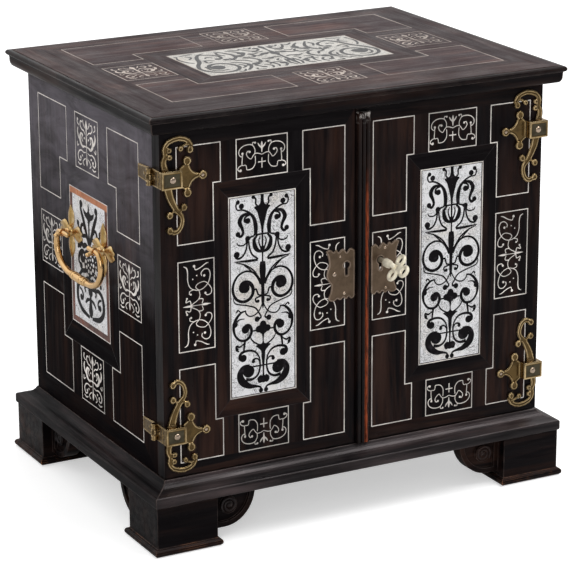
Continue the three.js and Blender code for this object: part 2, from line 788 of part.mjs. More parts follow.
// Front of the upper left hinge's door leaf; x = 0 is the case's side and z = 0 the strap's middle.
function doorLeafFront() {
  const half = strapHeight / 2;
  const plate = block(-leafThickness, bossWidth + overrun, doorFace - leafThickness, doorFace, -half, half);
  const bossFace = doorFace - leafThickness - bossHeight;
  const boss = block(-leafThickness, bossWidth, bossFace, doorFace, -half, half);
  const nail = frontNail(bossWidth / 2, 0, bossNailRadius, bossFace + nailSink);
  return [plate, boss, nail, ...hingeFleur(), ...hingeHook(), ...hingeTail()];
}

function knuckleEnds() {
  const third = strapHeight / 3;
  return [-strapHeight / 2, -third / 2, third / 2, strapHeight / 2];
}

function doorLeaf() {
  const half = strapHeight / 2;
  const [bottom, low, high, top] = knuckleEnds();
  const pinX = hingeX + halfWidth;
  const edge = block(-leafThickness, 0, doorFace - leafThickness, hingeY, -half, half);
  const barrel = upright(pinX, hingeY, barrelRadius, low + knuckleGap / 2, high - knuckleGap / 2);
  const edgeNail = sideNail(doorFace + doorThickness / 2, 0, nailRadius, -leafThickness + nailSink);
  const clear = barrelRadius + knuckleGap;
  const lowClear = upright(pinX, hingeY, clear, bottom - overrun, low + knuckleGap / 2);
  const highClear = upright(pinX, hingeY, clear, high - knuckleGap / 2, top + overrun);
  const bore = upright(pinX, hingeY, pinRadius + pinClearance, bottom, top);
  const strap = joined(edge, barrel, edgeNail);
  return joined(cutBy(strap, lowClear, highClear, bore), ...doorLeafFront());
}

function caseLeaf() {
  const half = strapHeight / 2;
  const [bottom, low, high, top] = knuckleEnds();
  const pinX = hingeX + halfWidth;
  const tipHalf = caseLeafTip / 2;
  const endY = hingeY + caseLeafLength;
  const leaf = sidePlate(shapeOf([[hingeY, -half], [endY, -tipHalf], [endY, tipHalf], [hingeY, half]]),
    -leafThickness, leafThickness);
  const clear = upright(pinX, hingeY, barrelRadius + knuckleGap, low - knuckleGap / 2, high + knuckleGap / 2);
  const lowBarrel = upright(pinX, hingeY, barrelRadius, bottom, low - knuckleGap / 2);
  const highBarrel = upright(pinX, hingeY, barrelRadius, high + knuckleGap / 2, top);
  const pin = upright(pinX, hingeY, pinRadius, bottom, top);
  const nail = sideNail((hingeY + endY) / 2, 0, nailRadius, -leafThickness + nailSink);
  return joined(cutBy(leaf, clear), lowBarrel, highBarrel, pin, nail);
}

function addHinges() {
  const doorPart = doorLeaf();
  const casePart = caseLeaf();
  const rows = [["upper", 1, doorTop - hingeInset], ["lower", -1, doorBottom + hingeInset]];
  for (const [side, signX] of [["left", 1], ["right", -1]]) {
    for (const [row, signZ, z] of rows) {
      const x = -signX * halfWidth;
      add(`${side}_${row}_hinge_door_leaf`, flipped(doorPart, signX, 1, signZ).translate(x, 0, z), agedBrass);
      add(`${side}_${row}_hinge_case_leaf`, flipped(casePart, signX, 1, signZ).translate(x, 0, z), agedBrass);
    }
  }
}

// A leaf of the handle's rosette, pointing up from 0 and then turned.
function rosetteLeaf(length, width, turn) {
  const widestShare = 0.42;
  const points = [];
  for (let step = 1; step < wireSides; step += 1) {
    const along = step / wireSides;
    const swell = Math.sin(Math.PI * Math.pow(along, Math.log(1 / 2) / Math.log(widestShare)));
    points.push([width / 2 * swell, length * along]);
  }
  const other = points.map(([across, up]) => [-across, up]).reverse();
  return slab(shapeOf([[0, 0], ...points, [0, length], ...other]), leafPlate).rotateZ(turn);
}

// A round post's stretch on the left side, from one reach to another.
function postStretch(startReach, endReach, startRadius, endRadius) {
  const rod = new THREE.CylinderGeometry(endRadius, startRadius, endReach - startReach, discSteps);
  return rod.rotateZ(Math.PI / 2).translate(-(startReach + endReach) / 2, 0, 0);
}

// Handle mount on the left side, drawn about its foot: four leaves, a hub and a post with an eye.
function handleMount() {
  const quarter = Math.PI / 2;
  const lay = new THREE.Matrix4().set(0, 0, -1, 0, -1, 0, 0, 0, 0, 1, 0, 0, 0, 0, 0, 1);
  const leaves = [0, 1, 2, 3].map((turn) => {
    const [length, width] = turn % 2 === 0 ? [longLeaf, longLeafWidth] : [shortLeaf, shortLeafWidth];
    return rosetteLeaf(length, width, turn * quarter).applyMatrix4(lay);
  });
  const inner = bailWire + eyeClearance;
  const outer = inner + eyeWire;
  const hub = postStretch(0, stemHeight, hubRadius, stemRadius);
  const tip = postStretch(pivotReach + inner + eyeClearance, tipReach, eyeWidth / 2, tipRadius);
  const ring = frontPlate(new THREE.Shape(ringPoints(0, 0, outer, fineSteps)), eyeWidth / 2, eyeWidth);
  const bore = new THREE.CylinderGeometry(inner, inner, eyeWidth + 2 * overrun, fineSteps);
  const body = joined(...leaves, hub, tip, ring.translate(-pivotReach, 0, 0));
  return cutBy(body, bore.translate(-pivotReach, 0, 0));
}

// Bail: stubs through the eyes, arms that swell out beyond the posts, and a turned grip between them.
function bail() {
  const armShares = [[0.96, -0.2], [0.95, -0.5], [0.74, -0.87]];
  const arm = scaled(armShares, bailSpread, bailDrop);
  const side = [[postSpread - bailStub, 0], [postSpread, 0], [postSpread + bailStub / 2, 0],
    ...arm, [gripLength / 2, -bailDrop]];
  const other = side.map(([across, up]) => [-across, up]).reverse();
  const path = new THREE.CatmullRomCurve3([...side, ...other].map(([y, z]) => new THREE.Vector3(0, y, z)));
  const section = new THREE.Shape(ringPoints(0, 0, bailWire, wireSides));
  const settings = { steps: 2 * fineSteps, extrudePath: path, bevelEnabled: false };
  const wire = new THREE.ExtrudeGeometry(section, settings);
  const halfShares = [[1, 0.2], [0.86, 0.48], [0.62, 0.6], [0.95, 0.68], [1, 0.85], [0.6, 0.98], [0, 1]];
  const otherShares = halfShares.map(([outShare, upShare]) => [outShare, -upShare]).reverse();
  const grip = turned([...otherShares, ...halfShares], gripRadius, gripLength / 2, discSteps);
  grip.translate(0, 0, -bailDrop);
  return joined(wire, grip);
}

function addHandles() {
  for (const [side, signX] of [["left", 1], ["right", -1]]) {
    const startX = -signX * halfWidth;
    for (const [place, signY] of [["front", -1], ["back", 1]]) {
      const mount = flipped(handleMount(), signX, 1, 1);
      mount.translate(startX, handleY + signY * postSpread, handleZ);
      add(`${side}_handle_${place}_mount`, mount, agedBrass);
    }
    const ring = flipped(bail(), signX, 1, 1);
    add(`${side}_handle_bail`, ring.translate(startX - signX * pivotReach, handleY, handleZ), agedBrass);
  }
}

function addInterior() {
  const frontY = jointY + drawerRecess;
  const backY = halfDepth - backThickness;
  const rowHeight = (caseHeight - (drawerRows - 1) * shelfThickness) / drawerRows;
  const halfDivider = dividerThickness / 2;
  const boards = [block(meetingX - halfDivider, meetingX + halfDivider, frontY, backY, floorZ, roofZ)];
  for (let row = 1; row < drawerRows; row += 1) {
    const shelfZ = floorZ + row * rowHeight + (row - 1) * shelfThickness;
    boards.push(block(-innerHalf, innerHalf, frontY, backY, shelfZ, shelfZ + shelfThickness));
  }
  add("drawer_divider", joined(...boards), ebony);
  const leftEnd = meetingX - halfDivider;
  const rightStart = meetingX + halfDivider;
  const columns = [["left", -innerHalf, leftEnd], ["right", rightStart, innerHalf]];
  const rowNames = ["lower", "middle", "upper"];
  for (const [column, startX, endX] of columns) {
    for (let row = 0; row < drawerRows; row += 1) {
      const startZ = floorZ + row * (rowHeight + shelfThickness);
      const name = `${column}_${rowNames[row]}_drawer`;
      add(name, drawer(startX, endX, frontY, backY, startZ, startZ + rowHeight), walnut);
      add(`${name}_knob`, knob((startX + endX) / 2, frontY, startZ + rowHeight / 2), brightBrass);
    }
  }
}

function drawer(x0, x1, y0, y1, z0, z1) {
  const gap = drawerClearance;
  const box = block(x0 + gap, x1 - gap, y0, y1 - drawerBackGap, z0 + gap / 2, z1 - gap);
  const hollow = block(x0 + gap + drawerWall, x1 - gap - drawerWall,
    y0 + drawerFrontThickness, y1 - drawerBackGap - drawerWall, z0 + gap / 2 + drawerFloor, z1 + overrun);
  return cutBy(box, hollow);
}

function knob(x, faceY, z) {
  const neckShares = [[0, 0], [0.8, 0], [0.8, 0.1], [0.48, 0.25], [0.48, 0.4]];
  const headShares = [[0.85, 0.5], [1, 0.7], [0.7, 0.93], [0, 1]];
  const piece = turned([...neckShares, ...headShares], knobRadius, knobLength, discSteps);
  return piece.rotateX(Math.PI).translate(x, faceY, z);
}

addCase();
addFrame("cornice", corniceProfile());
addFrame("base_moulding", baseProfile());
addFeet();
addDoors();
addHinges();
addLockPlates();
addLock();
addHandles();
addInterior();

export default cabinet;
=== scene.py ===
"""Cabinet casket: inlay, brasses and finishes of an ebonised table cabinet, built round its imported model."""

import json
import math

import bmesh
import bpy
from bpy.props import FloatProperty, FloatVectorProperty, IntProperty, PointerProperty
from mathutils import Matrix, Vector
from mathutils.kdtree import KDTree


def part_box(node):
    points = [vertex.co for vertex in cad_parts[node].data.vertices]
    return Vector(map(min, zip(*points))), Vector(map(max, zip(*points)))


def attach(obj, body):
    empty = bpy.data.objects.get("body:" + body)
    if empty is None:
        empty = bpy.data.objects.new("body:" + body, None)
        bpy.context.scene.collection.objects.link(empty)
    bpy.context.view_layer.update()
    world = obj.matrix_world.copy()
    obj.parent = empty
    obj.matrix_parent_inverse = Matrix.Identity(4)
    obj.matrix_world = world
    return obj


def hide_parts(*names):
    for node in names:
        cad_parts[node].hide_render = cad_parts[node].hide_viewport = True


bl_info = {
    "name": "Cabinet Casket",
    "version": (1, 0, 0),
    "blender": (4, 5, 0),
    "location": "View3D > Sidebar > Casket",
    "description": "Dresses a table cabinet with inlay, cast brasses and polished ebony",
    "category": "Add Mesh",
}

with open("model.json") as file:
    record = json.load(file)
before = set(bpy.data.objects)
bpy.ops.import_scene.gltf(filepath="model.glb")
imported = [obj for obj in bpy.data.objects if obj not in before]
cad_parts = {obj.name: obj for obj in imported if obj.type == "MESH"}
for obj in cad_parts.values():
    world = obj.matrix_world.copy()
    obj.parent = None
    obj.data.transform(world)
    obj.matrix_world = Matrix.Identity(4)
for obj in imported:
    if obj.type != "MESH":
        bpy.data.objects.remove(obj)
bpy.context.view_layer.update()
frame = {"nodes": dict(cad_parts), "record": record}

# The art tables below give places and widths in hundredths of the art's span, from the middle of a panel.
# A stroke is a row of (across, up, width); a dot is (across, up, radius). Most are mirrored to the other half.

# Black scrolls of a door's large plate.
DOOR_INK_SHARES = {
    "mirrored": [
        [(7, 58, 3.4), (6.8, 66, 4.2), (9, 74, 3.2), (14, 79.5, 2), (20, 82.5, 1.6), (25, 83, 1.4),
         (26.6, 87, 1.6), (24.8, 90.5, 2)],
        [(8.5, 74.5, 1.4), (14, 78, 2), (20, 77, 3.4), (23, 71.5, 4.2), (20.6, 65.5, 3), (19.6, 61, 2.6),
         (22, 57.8, 2.6), (25, 60, 3)],
        [(12, 77, 1.2), (17, 75.5, 1.8), (17.6, 71.6, 2.6), (14.4, 70.6, 2.4)],
        [(2, 82.5, 1.4), (6.4, 86, 1.6), (6.6, 91, 1.8), (9.6, 93.4, 2)],
        [(8, 57, 1.4), (12, 56, 2), (15.4, 53.5, 3.4), (16.6, 51, 1.6), (20, 49.2, 1.4), (24.4, 50, 1.2),
         (26, 52.5, 0.8)],
        [(5, 57, 1.6), (8.4, 53, 3), (7.6, 46.5, 4.4), (4.6, 42.4, 3.4), (0.5, 41, 2.2)],
        [(2.2, 55.5, 0.8), (3.8, 51, 1.4), (1.6, 44, 1.6)],
        [(15.5, 53, 1.8), (16.4, 46, 1.7), (19.4, 40, 1.8), (24, 37.4, 2), (27.4, 39, 2.6)],
        [(14, 52.5, 1.6), (13.2, 46, 1.7), (10.6, 39.5, 1.7), (6.4, 36, 1.8), (5, 33.9, 2)],
        [(5, 33.8, 2.2), (16, 34, 2.4), (28.6, 34.8, 0.6)],
        [(27, 33.8, 0.8), (18, 30.6, 1.5), (9, 24, 1.5), (3.4, 15, 1.6)],
        [(19, 30.4, 0.8), (12.6, 25, 1.3), (6, 17.5, 1.2), (2.4, 10, 1.2)],
        [(1.6, 11, 1.6), (5, 18, 1.8), (11, 23, 1.8), (18, 24.4, 1.8), (25, 21.4, 2), (29.6, 14.6, 2.3),
         (30.4, 6.6, 2.6), (27, -0.6, 2.7), (20, -4, 2.9), (13.4, -2, 3), (10, 3.6, 3.2), (11, 10, 3.6),
         (15.4, 13.8, 4), (20.4, 13, 4.6), (22.2, 8.6, 4.6), (19.4, 6, 4.6)],
        [(10.2, 5.2, 1.4), (7, 6.2, 1.7), (5.6, 3, 1.6), (4.6, 0.6, 1.5), (1.4, -0.4, 1.6)],
        [(1, -1, 1.2), (4.4, -1.6, 1.5), (7.6, -3, 1.6), (6.6, -6, 1.8), (4.2, -5.6, 1.8)],
        [(30, 1, 0.8), (28, -4.6, 1.2), (16, -8.2, 1.3), (8, -11.4, 1.4), (4, -17, 1.5), (2, -21, 1.6),
         (5.4, -23, 2.6)],
        [(0.6, -8, 1), (3.4, -14, 1.2), (8, -18, 1.3), (13.4, -18.8, 1.3), (17, -16, 1.3),
         (18, -12.4, 1.3)],
        [(17.6, -13.2, 1.2), (22, -14, 2), (27, -18.6, 2.8), (30, -26, 3), (29, -34, 2.2), (24.2, -40, 2.2),
         (17.6, -41, 2.6), (13, -37, 2.8), (12, -31.4, 3), (14.6, -27.4, 3.2), (18.6, -27.6, 3.4)],
        [(22.5, -14, 1), (25.6, -11.4, 1.4), (27, -13.4, 1.6)],
        [(19, -20.4, 0.8), (24.4, -20.6, 1.4), (29, -24.6, 2.6)],
        [(4, -33, 1.6), (12, -33.4, 1.4)],
        [(13.4, -38, 0.9), (10.6, -43, 1.4), (5, -47, 1.5), (0, -48.6, 1.7)],
        [(18.6, -41.6, 2.4), (19.4, -46, 2), (20, -52, 1.8)],
        [(19.6, -44, 1), (24, -46.6, 1.8), (27.4, -45.4, 2), (27.2, -49.4, 1.8), (24.6, -51, 1)],
        [(3.6, -66, 1.4), (4.4, -59, 1.5), (9, -53.2, 1.9), (16, -51.4, 2.2), (22.6, -53, 2.6),
         (24.2, -57.6, 3), (20.6, -60.4, 3)],
        [(4.2, -63, 1.2), (6.4, -60.4, 1.5), (10.4, -61, 1.9), (10, -63.6, 1.8)],
        [(3.4, -62, 1.5), (3.6, -70, 1.8), (6, -76.4, 2), (11.4, -79.6, 2.4), (18, -79, 3.4)],
        [(14, -66, 2.6), (20.6, -67.6, 5), (24, -74, 6.4), (21.4, -81, 7), (14.6, -85.8, 5), (8, -87, 2.6),
         (3.4, -88.4, 1.8), (2, -91.6, 2)],
        [(2, -77.4, 2), (4.6, -80.4, 3.6), (2.6, -83.4, 2)],
    ],
    "single": [
        [(0, 95, 3.2), (0, 86, 4.6), (0, 83.4, 16), (0, 79.6, 11), (0, 74, 7.4), (0, 68, 4.4), (0, 61, 2.2),
         (0, 42, 1.6)],
        [(-9, 57.6, 1.6), (9, 57.6, 1.6)],
        [(0, 42, 1.8), (0, 32, 1.6), (0, 31.2, 5), (0, 24, 6.4), (0, 15, 5), (0, 7, 3.2), (0, -3, 3.4),
         (0, -9, 2.4), (0, -13, 0.8)],
        [(0, -26, 4.4), (0, -30, 8.4), (0, -34, 9.6), (0, -37, 3), (0, -46, 2), (0, -48, 15),
         (0, -50.6, 10), (0, -54, 4.4), (0, -60, 3.6), (0, -68, 2), (0, -77, 1.8), (0, -79, 6),
         (0, -84, 3)],
        [(-12, -67.6, 1.4), (12, -67.6, 1.4)],
    ],
    "mirrored_dots": [
        (24.8, 60.2, 2.4), (14.8, 71.6, 2.7), (15, 55, 2.6), (26.2, 41.2, 3), (18, 8.6, 4.6),
        (5, -5.6, 1.6), (6, -22.6, 2.6), (18, -30.6, 4), (28.6, -24.6, 2.8), (4.6, -32.4, 3.2),
        (26.8, -48.6, 1.6), (20.6, -58, 3.5), (10.2, -62.6, 1.8), (15, -71.6, 5.8), (24.6, 90, 2),
        (9, 93, 1.8), (21, 86, 2.6), (3.4, -82.2, 2.4), (2.6, -91.8, 2.2),
    ],
    "single_dots": [
        (0, 44, 2.4), (0, -28, 3.2), (0, -33, 4.6), (0, -81, 3.6),
    ],
}

# Scrolls of a door's small panels beside the large one; mirrored up and down.
DOOR_MIDDLE_SHARES = {
    "mirrored": [
        [(-12.5, 38, 0.7), (-9.5, 36, 1.5), (-8.5, 31, 1.3), (-8.5, 24, 1.1), (-6.5, 18, 1.1),
         (-2.5, 15, 1.1), (2.5, 14, 1.1), (7.5, 15.5, 1.1), (12, 20, 1.1), (14, 27, 1.2), (12.5, 32, 1.2),
         (8.5, 33, 1.2), (5, 30, 1.2), (5.5, 27, 1.3)],
        [(-1.5, 36, 0.9), (-0.5, 33.5, 1.2), (4.5, 35, 1.2), (9.5, 38, 1.4), (12.4, 38.6, 0.6)],
        [(2.5, 14, 1), (-0.5, 17, 1), (1.5, 20, 1), (7.5, 21.5, 1), (11.5, 19, 1), (15, 14, 1),
         (14.5, 9.5, 1.1), (10.5, 8.5, 1.2), (8.5, 11, 1.2)],
        [(2.5, 14, 1), (3.5, 9, 1), (1.5, 5, 1), (-2.5, 2.5, 1), (-5.5, 1, 1)],
        [(-2.5, 15, 0.9), (-6.5, 14, 1), (-7, 11, 1)],
        [(-5.5, 1, 1.2), (-6.5, 5, 1.2), (-10.5, 4, 1.3), (-9.5, 7.5, 1.5)],
        [(5.5, 1, 1), (6.5, 5, 1.1), (2.5, 6, 1.3)],
    ],
    "single": [
        [(-13.5, 0, 0.5), (-9, 0, 2.2), (-4.5, 0, 2.6), (-3, 0, 0.9), (5, 0, 0.9), (6.5, 0, 2.4),
         (9.5, 0, 2.6), (14, 0, 0.4)],
    ],
    "mirrored_dots": [
        (8, 27, 1.6), (-2, 37, 1.7), (9, 10.5, 1.5), (-5.6, 11, 1.3), (-9.5, 7.6, 1.2), (2.8, 6, 1.1),
        (0.5, 28, 0.9), (-3.5, 25, 0.9),
    ],
    "single_dots": [],
}

# Scrolls of a door's small panels above and below the large one; mirrored left and right.
DOOR_END_SHARES = {
    "mirrored": [
        [(0, 1.5, 0.9), (4, 3, 1), (7, 3, 1), (9, 1, 1), (11, -1.5, 1), (14, 0.5, 1), (15.5, 3.5, 1.1),
         (14, 6, 1.2), (11.5, 4.5, 1.2)],
        [(7, 3, 1), (7, 7, 1), (9.5, 11, 1.1), (14, 12, 1.2), (19, 11, 1.2), (22.5, 8, 1.1), (23, 4, 1.1),
         (20.5, 1.5, 1.1), (19, 4, 1.3)],
        [(9.5, 11, 0.9), (9, 13.5, 1), (6.5, 13, 1.2)],
        [(19.5, 2, 0.9), (20, -4, 1.1), (19.5, -6.5, 1), (16.5, -6.5, 1), (15.5, -9, 1), (15, -11, 1),
         (10, -10.5, 1.1), (7, -7, 1), (6.5, -3, 1), (6.8, 1, 1)],
        [(19.5, -6, 1), (23, -7.5, 1.1), (24.3, -10, 1.2), (21.5, -12, 1.4)],
        [(4, 12.5, 0.6), (2.6, 10, 1.8), (0, 7.5, 1.6)],
    ],
    "single": [
        [(0, 13.8, 0.5), (0, 11, 2.6), (0, 8, 2.4), (0, 3.5, 0.8)],
        [(0, -10.8, 1.2), (0, -1.5, 1.2)],
        [(-3.8, -5.2, 1.4), (3.8, -5.2, 1.4)],
    ],
    "mirrored_dots": [
        (12.3, 5.2, 1.5), (19.5, 4.3, 1.5), (6.8, 13, 1.3), (21.5, -11, 1.6),
    ],
    "single_dots": [],
}

# Leafy scrolls of the small panels on the sides and the top; mirrored left and right.
LEAF_PANEL_SHARES = {
    "mirrored": [
        [(3, -2, 1), (8, -4, 2), (13, -1, 3.8), (14.6, 4, 4), (12.4, 8, 2.8), (9.6, 8.6, 1)],
        [(14, 1, 1.4), (18, 4, 2.8), (20, 9, 2.6), (18.6, 13, 1.2)],
        [(8, 1, 1), (10.4, 4, 1.6), (9, 6.4, 1)],
        [(2.5, 9, 0.9), (6, 12, 1.4), (10, 12.6, 1.4), (13.6, 16, 1.5), (12.4, 20, 1.6), (9, 19.6, 1.2)],
        [(3, 15, 0.9), (6, 18, 1.2), (7.6, 22, 1.6)],
        [(16, 15, 1), (20, 17.4, 1.6), (19.4, 21, 1.4)],
        [(2, -8, 0.8), (7, -9, 1.1), (12, -8, 1.4), (17, -9.6, 1.6), (20, -14, 1.8), (17.6, -18.4, 1.7),
         (13.6, -17.4, 1.5), (14, -14.4, 1.3)],
        [(2, -14, 0.8), (6, -15.6, 1.2), (9, -19, 1.4), (6, -21.6, 1.2)],
        [(12, -21, 1), (16, -22.4, 1.6), (20.4, -21, 1.2)],
        [(17, -3, 1), (20.6, -5, 1.6), (21, -1, 1.2)],
    ],
    "single": [
        [(0, 23, 0.5), (0, 20, 3.6), (0, 17, 6), (0, 14, 2.6), (0, 9, 1.6), (0, 4, 3), (0, 0, 1.6),
         (0, -6, 1.2), (0, -12, 1.4), (0, -17, 3.8), (0, -21, 0.8)],
        [(-10, -3, 1), (0, -2.6, 1.6), (10, -3, 1)],
    ],
    "mirrored_dots": [
        (10, -12.6, 1.2), (4.6, 5, 1.2), (13.8, -15, 1.6), (19.4, 20.6, 1.4), (9, 7.6, 1.6),
    ],
    "single_dots": [],
}

# Black scrolls of a side's large plate.
SIDE_INK_SHARES = {
    "mirrored": [
        [(0, 16, 4), (5, 26, 4.6), (9.6, 35, 5.4), (14, 43, 5), (17.6, 49, 4), (18.4, 54, 3)],
        [(18.4, 54, 3.4), (15.6, 56.4, 2.2)],
        [(2, 22, 2.4), (8, 25, 3.6), (14.6, 24, 4), (18.4, 28.6, 4), (16.4, 34, 3.6), (11.6, 34.4, 3),
         (11, 30.6, 2.4)],
        [(17, 27, 2.6), (23, 30, 3), (26.4, 36, 2.4)],
        [(2, 14, 3), (8, 16, 4.6), (14, 14, 5), (19, 17, 4), (24, 15, 3.6), (26, 9, 3)],
        [(9, 6, 4), (16, 8, 5), (23, 4, 4.4), (25, -3, 3.6), (20, -7, 3)],
        [(6, -8, 4), (12, -10, 4.6), (19, -12, 4), (24, -17, 3)],
        [(2, -15, 3.4), (8, -17, 4), (13, -21, 3.4)],
        [(2, -24, 3), (8, -23, 3.6), (13, -27, 3), (11, -31, 2.4)],
        [(10, -26, 2.6), (18, -22.6, 4), (26.4, -26, 5), (30, -34, 5.4), (28.6, -43, 5.4), (21, -50, 5.2),
         (12, -52.6, 4.4), (3, -54, 3)],
        [(25, -30, 2), (20, -31.6, 2.6), (17, -36, 3), (19.6, -40.6, 3.2)],
        [(2, -36, 2.4), (8, -38, 3.4), (12, -42, 2)],
    ],
    "single": [
        [(0, 58, 0.8), (0, 55, 2), (0, 51, 3.4), (0, 48, 9), (0, 45.6, 13), (0, 43, 8), (0, 39, 3.6),
         (0, 30, 3), (0, 20, 4), (0, 10, 5)],
        [(-12, 51, 1.2), (-8, 47, 4.6), (0, 45, 6), (8, 47, 4.6), (12, 51, 1.2)],
        [(0, -10, 5), (0, -16, 6), (0, -22, 4), (0, -28, 9), (0, -33, 4), (0, -41, 6), (0, -48, 9),
         (0, -54, 3)],
        [(-12, -25, 2.6), (12, -25, 2.6)],
    ],
    "mirrored_dots": [
        (17, 54.6, 3.4), (25, 34, 2.8), (22, 14, 4), (17, 1, 4.4), (20, -7, 3.2), (11, -20, 3.2),
        (21.4, -38.6, 3), (24, -17, 2.4),
    ],
    "single_dots": [
        (0, 1, 13), (0, -28, 4.8),
    ],
}

# Pale cells in the dark flower of a side plate: radius of their circle, how many, and the radius of each.
SIDE_CELL_SHARES = [(8.8, 10, 1.9), (4, 5, 1.3), (14.6, 9, 1.2)]

# Black scrolls of the top's large plate.
TOP_INK_SHARES = {
    "mirrored": [
        [(62, 41, 1.8), (70, 36, 3.4), (77, 24, 4.2), (82, 8, 4.6), (90, -6, 4.2), (94, -20, 4),
         (89, -34, 3.8), (77, -41, 3.8), (64, -37, 4), (57, -25, 4), (60, -12, 4), (70, -5, 4.2),
         (80, -9, 4.6), (83, -19, 4.6), (77, -26, 4.8), (71, -21, 5)],
        [(91, 39, 1.4), (95, 28, 2.4), (93, 15, 2.6), (88, 6, 2)],
        [(71, 36, 2), (60, 32, 3), (54, 24, 3.6), (56, 14, 3.4), (63, 12, 3)],
        [(50, 43, 2), (44, 33, 3.2), (40, 22, 4), (42, 11, 4), (50, 4, 3.6), (56, 8, 3)],
        [(56, -6, 2), (48, -12, 3.2), (44, -22, 3.6), (48, -33, 3.6), (55, -42, 2.6)],
        [(39, 41, 2), (33, 34, 3.2), (29, 25, 4.4), (32, 16, 4.4), (38, 14, 3)],
        [(38, 5, 2), (31, 1, 3), (27, -8, 3.8), (30, -17, 4.2), (37, -21, 3.6), (40, -29, 2.8),
         (36, -38, 2.6)],
        [(24, 43, 2), (20, 33, 3), (14, 27, 3.6), (8, 30, 3.2), (6, 38, 2.6)],
        [(25, 11, 2), (18, 8, 3.2), (11, 13, 4), (3, 16, 3)],
        [(22, -4, 2), (15, -8, 3.2), (9, -4, 3.2), (3, -7, 2.6)],
        [(26, -29, 2), (19, -24, 3.2), (13, -27, 3.8), (11, -35, 3.6), (16, -43, 2.4)],
        [(4, -16, 1.8), (5, -24, 3), (6, -33, 3), (3, -42, 2)],
        [(66, -44, 1.4), (60, -44, 2.6), (56, -37, 2)],
        [(70, 20, 1.6), (67, 24, 2.4), (62, 22, 2)],
        [(24, 20, 1.6), (20, 17, 2.6), (14, 19, 2)],
        [(88, 40, 1.6), (80, 42, 2.4), (73, 44, 1.6)],
        [(86, 22, 1.6), (80, 30, 2.6), (84, 36, 2)],
        [(48, 22, 2), (52, 30, 3), (50, 38, 2.4)],
        [(49, 12, 2), (47, 0, 3), (40, -4, 3), (36, -12, 2.4)],
        [(53, -16, 2), (50, -26, 3), (56, -32, 2)],
        [(36, 8, 2), (26, 5, 3), (22, 12, 3.2), (26, 18, 2)],
        [(32, -28, 2), (27, -36, 3), (30, -44, 2)],
        [(44, -38, 2), (46, -44, 2.4), (38, -45, 2)],
        [(34, 44, 2), (28, 38, 3), (22, 40, 2)],
        [(18, -14, 2), (24, -18, 3), (20, -33, 2.6), (22, -42, 2)],
        [(10, 44, 2), (14, 38, 2.6), (18, 43, 2)],
        [(6, 24, 1.8), (12, 22, 2.6), (17, 26, 2)],
        [(8, -12, 1.8), (12, -18, 2.6), (9, -22, 2)],
        [(66, 8, 1.8), (74, 12, 2.8), (76, 2, 2.4), (70, 4, 1.8)],
        [(86, -12, 1.8), (86, -26, 2.8), (80, -33, 2.4), (70, -31, 2)],
    ],
    "single": [
        [(0, 46, 1), (0, 40, 6), (0, 32, 3), (0, 22, 3), (0, 12, 7), (0, 4, 4), (0, -8, 3), (0, -20, 5),
         (0, -32, 4), (0, -44, 1)],
    ],
    "mirrored_dots": [
        (75, -18, 7), (60, 13, 3.6), (54, 7, 3.4), (36, 15, 4.2), (29, 25, 4.6), (37, -22, 4.4),
        (8, 37, 3.4), (12, -30, 4), (10, 13, 4), (14, -7, 3.4), (45, -24, 3.4), (93, 38, 2), (36, -37, 3),
    ],
    "single_dots": [
        (0, 10, 5), (0, -22, 4),
    ],
}


def length(name, description, default):
    return FloatProperty(name=name, description=description, default=default, unit="LENGTH", precision=5)


def colour(name, description, default):
    return FloatVectorProperty(name=name, description=description, default=default, min=0, max=1,
                               subtype="COLOR")


def share(name, description, default):
    return FloatProperty(name=name, description=description, default=default, min=0, max=1, subtype="FACTOR")


def amount(name, description, default):
    return FloatProperty(name=name, description=description, default=default, min=0)


def angle(name, description, degrees):
    return FloatProperty(name=name, description=description, default=math.radians(degrees), subtype="ANGLE")


def position(name, description, default):
    return FloatVectorProperty(name=name, description=description, default=default, subtype="TRANSLATION")


def whole(name, description, default):
    return IntProperty(name=name, description=description, default=default, min=1)


# Names and meanings of the lengths that place a face's inlay, each from the middle of its layout.
LAYOUT_WORDS = {
    "outer_across": ("Outer width", "Half width of the whole layout"),
    "outer_up": ("Outer height", "Half height of the whole layout, or its half depth on the top"),
    "wide_across": ("Wide inner edge", "Inner edge of a corner field's wide stretch"),
    "step_up": ("Step", "Where a corner field narrows"),
    "narrow_across": ("Narrow inner edge", "Inner edge of a corner field's narrow stretch"),
    "end_up": ("Field end", "Where a corner field ends"),
    "middle_up": ("Middle panel", "Half height of the panels beside the large one"),
    "end_across": ("End panel", "Half width of the panels above and below the large one"),
    "frame_across": ("Frame width", "Half width of the line round the large panel"),
    "frame_up": ("Frame height", "Half height of the line round the large panel"),
}


def layout_lengths(**sizes):
    """Settings of one face's inlay, measured from the middle of its layout."""
    return {key: length(*LAYOUT_WORDS[key], size) for key, size in sizes.items()}


class CasketInlaySettings(bpy.types.PropertyGroup):
    """Sizes that all the inlaid faces share."""

    art_span: length("Art span", "Length that the art tables divide into hundredths", 0.1)
    string_width: length("String width", "Width of the inlaid lines", 0.00092)
    lift: length("Lift", "Height of the inlay above the wood that holds it", 0.00006)
    climb: length("Climb", "How much each bit of a scroll lies over the one before it", 0.00000025)
    seam_width: length("Seam width", "Width of the joints between strips of veneer", 0.00035)
    drawer_margin: length("Drawer margin", "Distance of the drawers' inlaid line from their edges", 0.009)
    steps: whole("Steps", "Stretches of a scroll between two of its points", 5)
    dot_sides: whole("Dot sides", "Corners of a round dot", 16)
    door_weight: amount("Door weight", "Boldness of the doors' black scrolls", 1.02)
    side_weight: amount("Side weight", "Boldness of the sides' black scrolls", 1.05)
    top_weight: amount("Top weight", "Boldness of the top's black scrolls", 0.95)
    line_weight: amount("Line weight", "Boldness of the doors' pale scrolls", 0.74)
    leaf_weight: amount("Leaf weight", "Boldness of the leafy pale scrolls", 0.9)


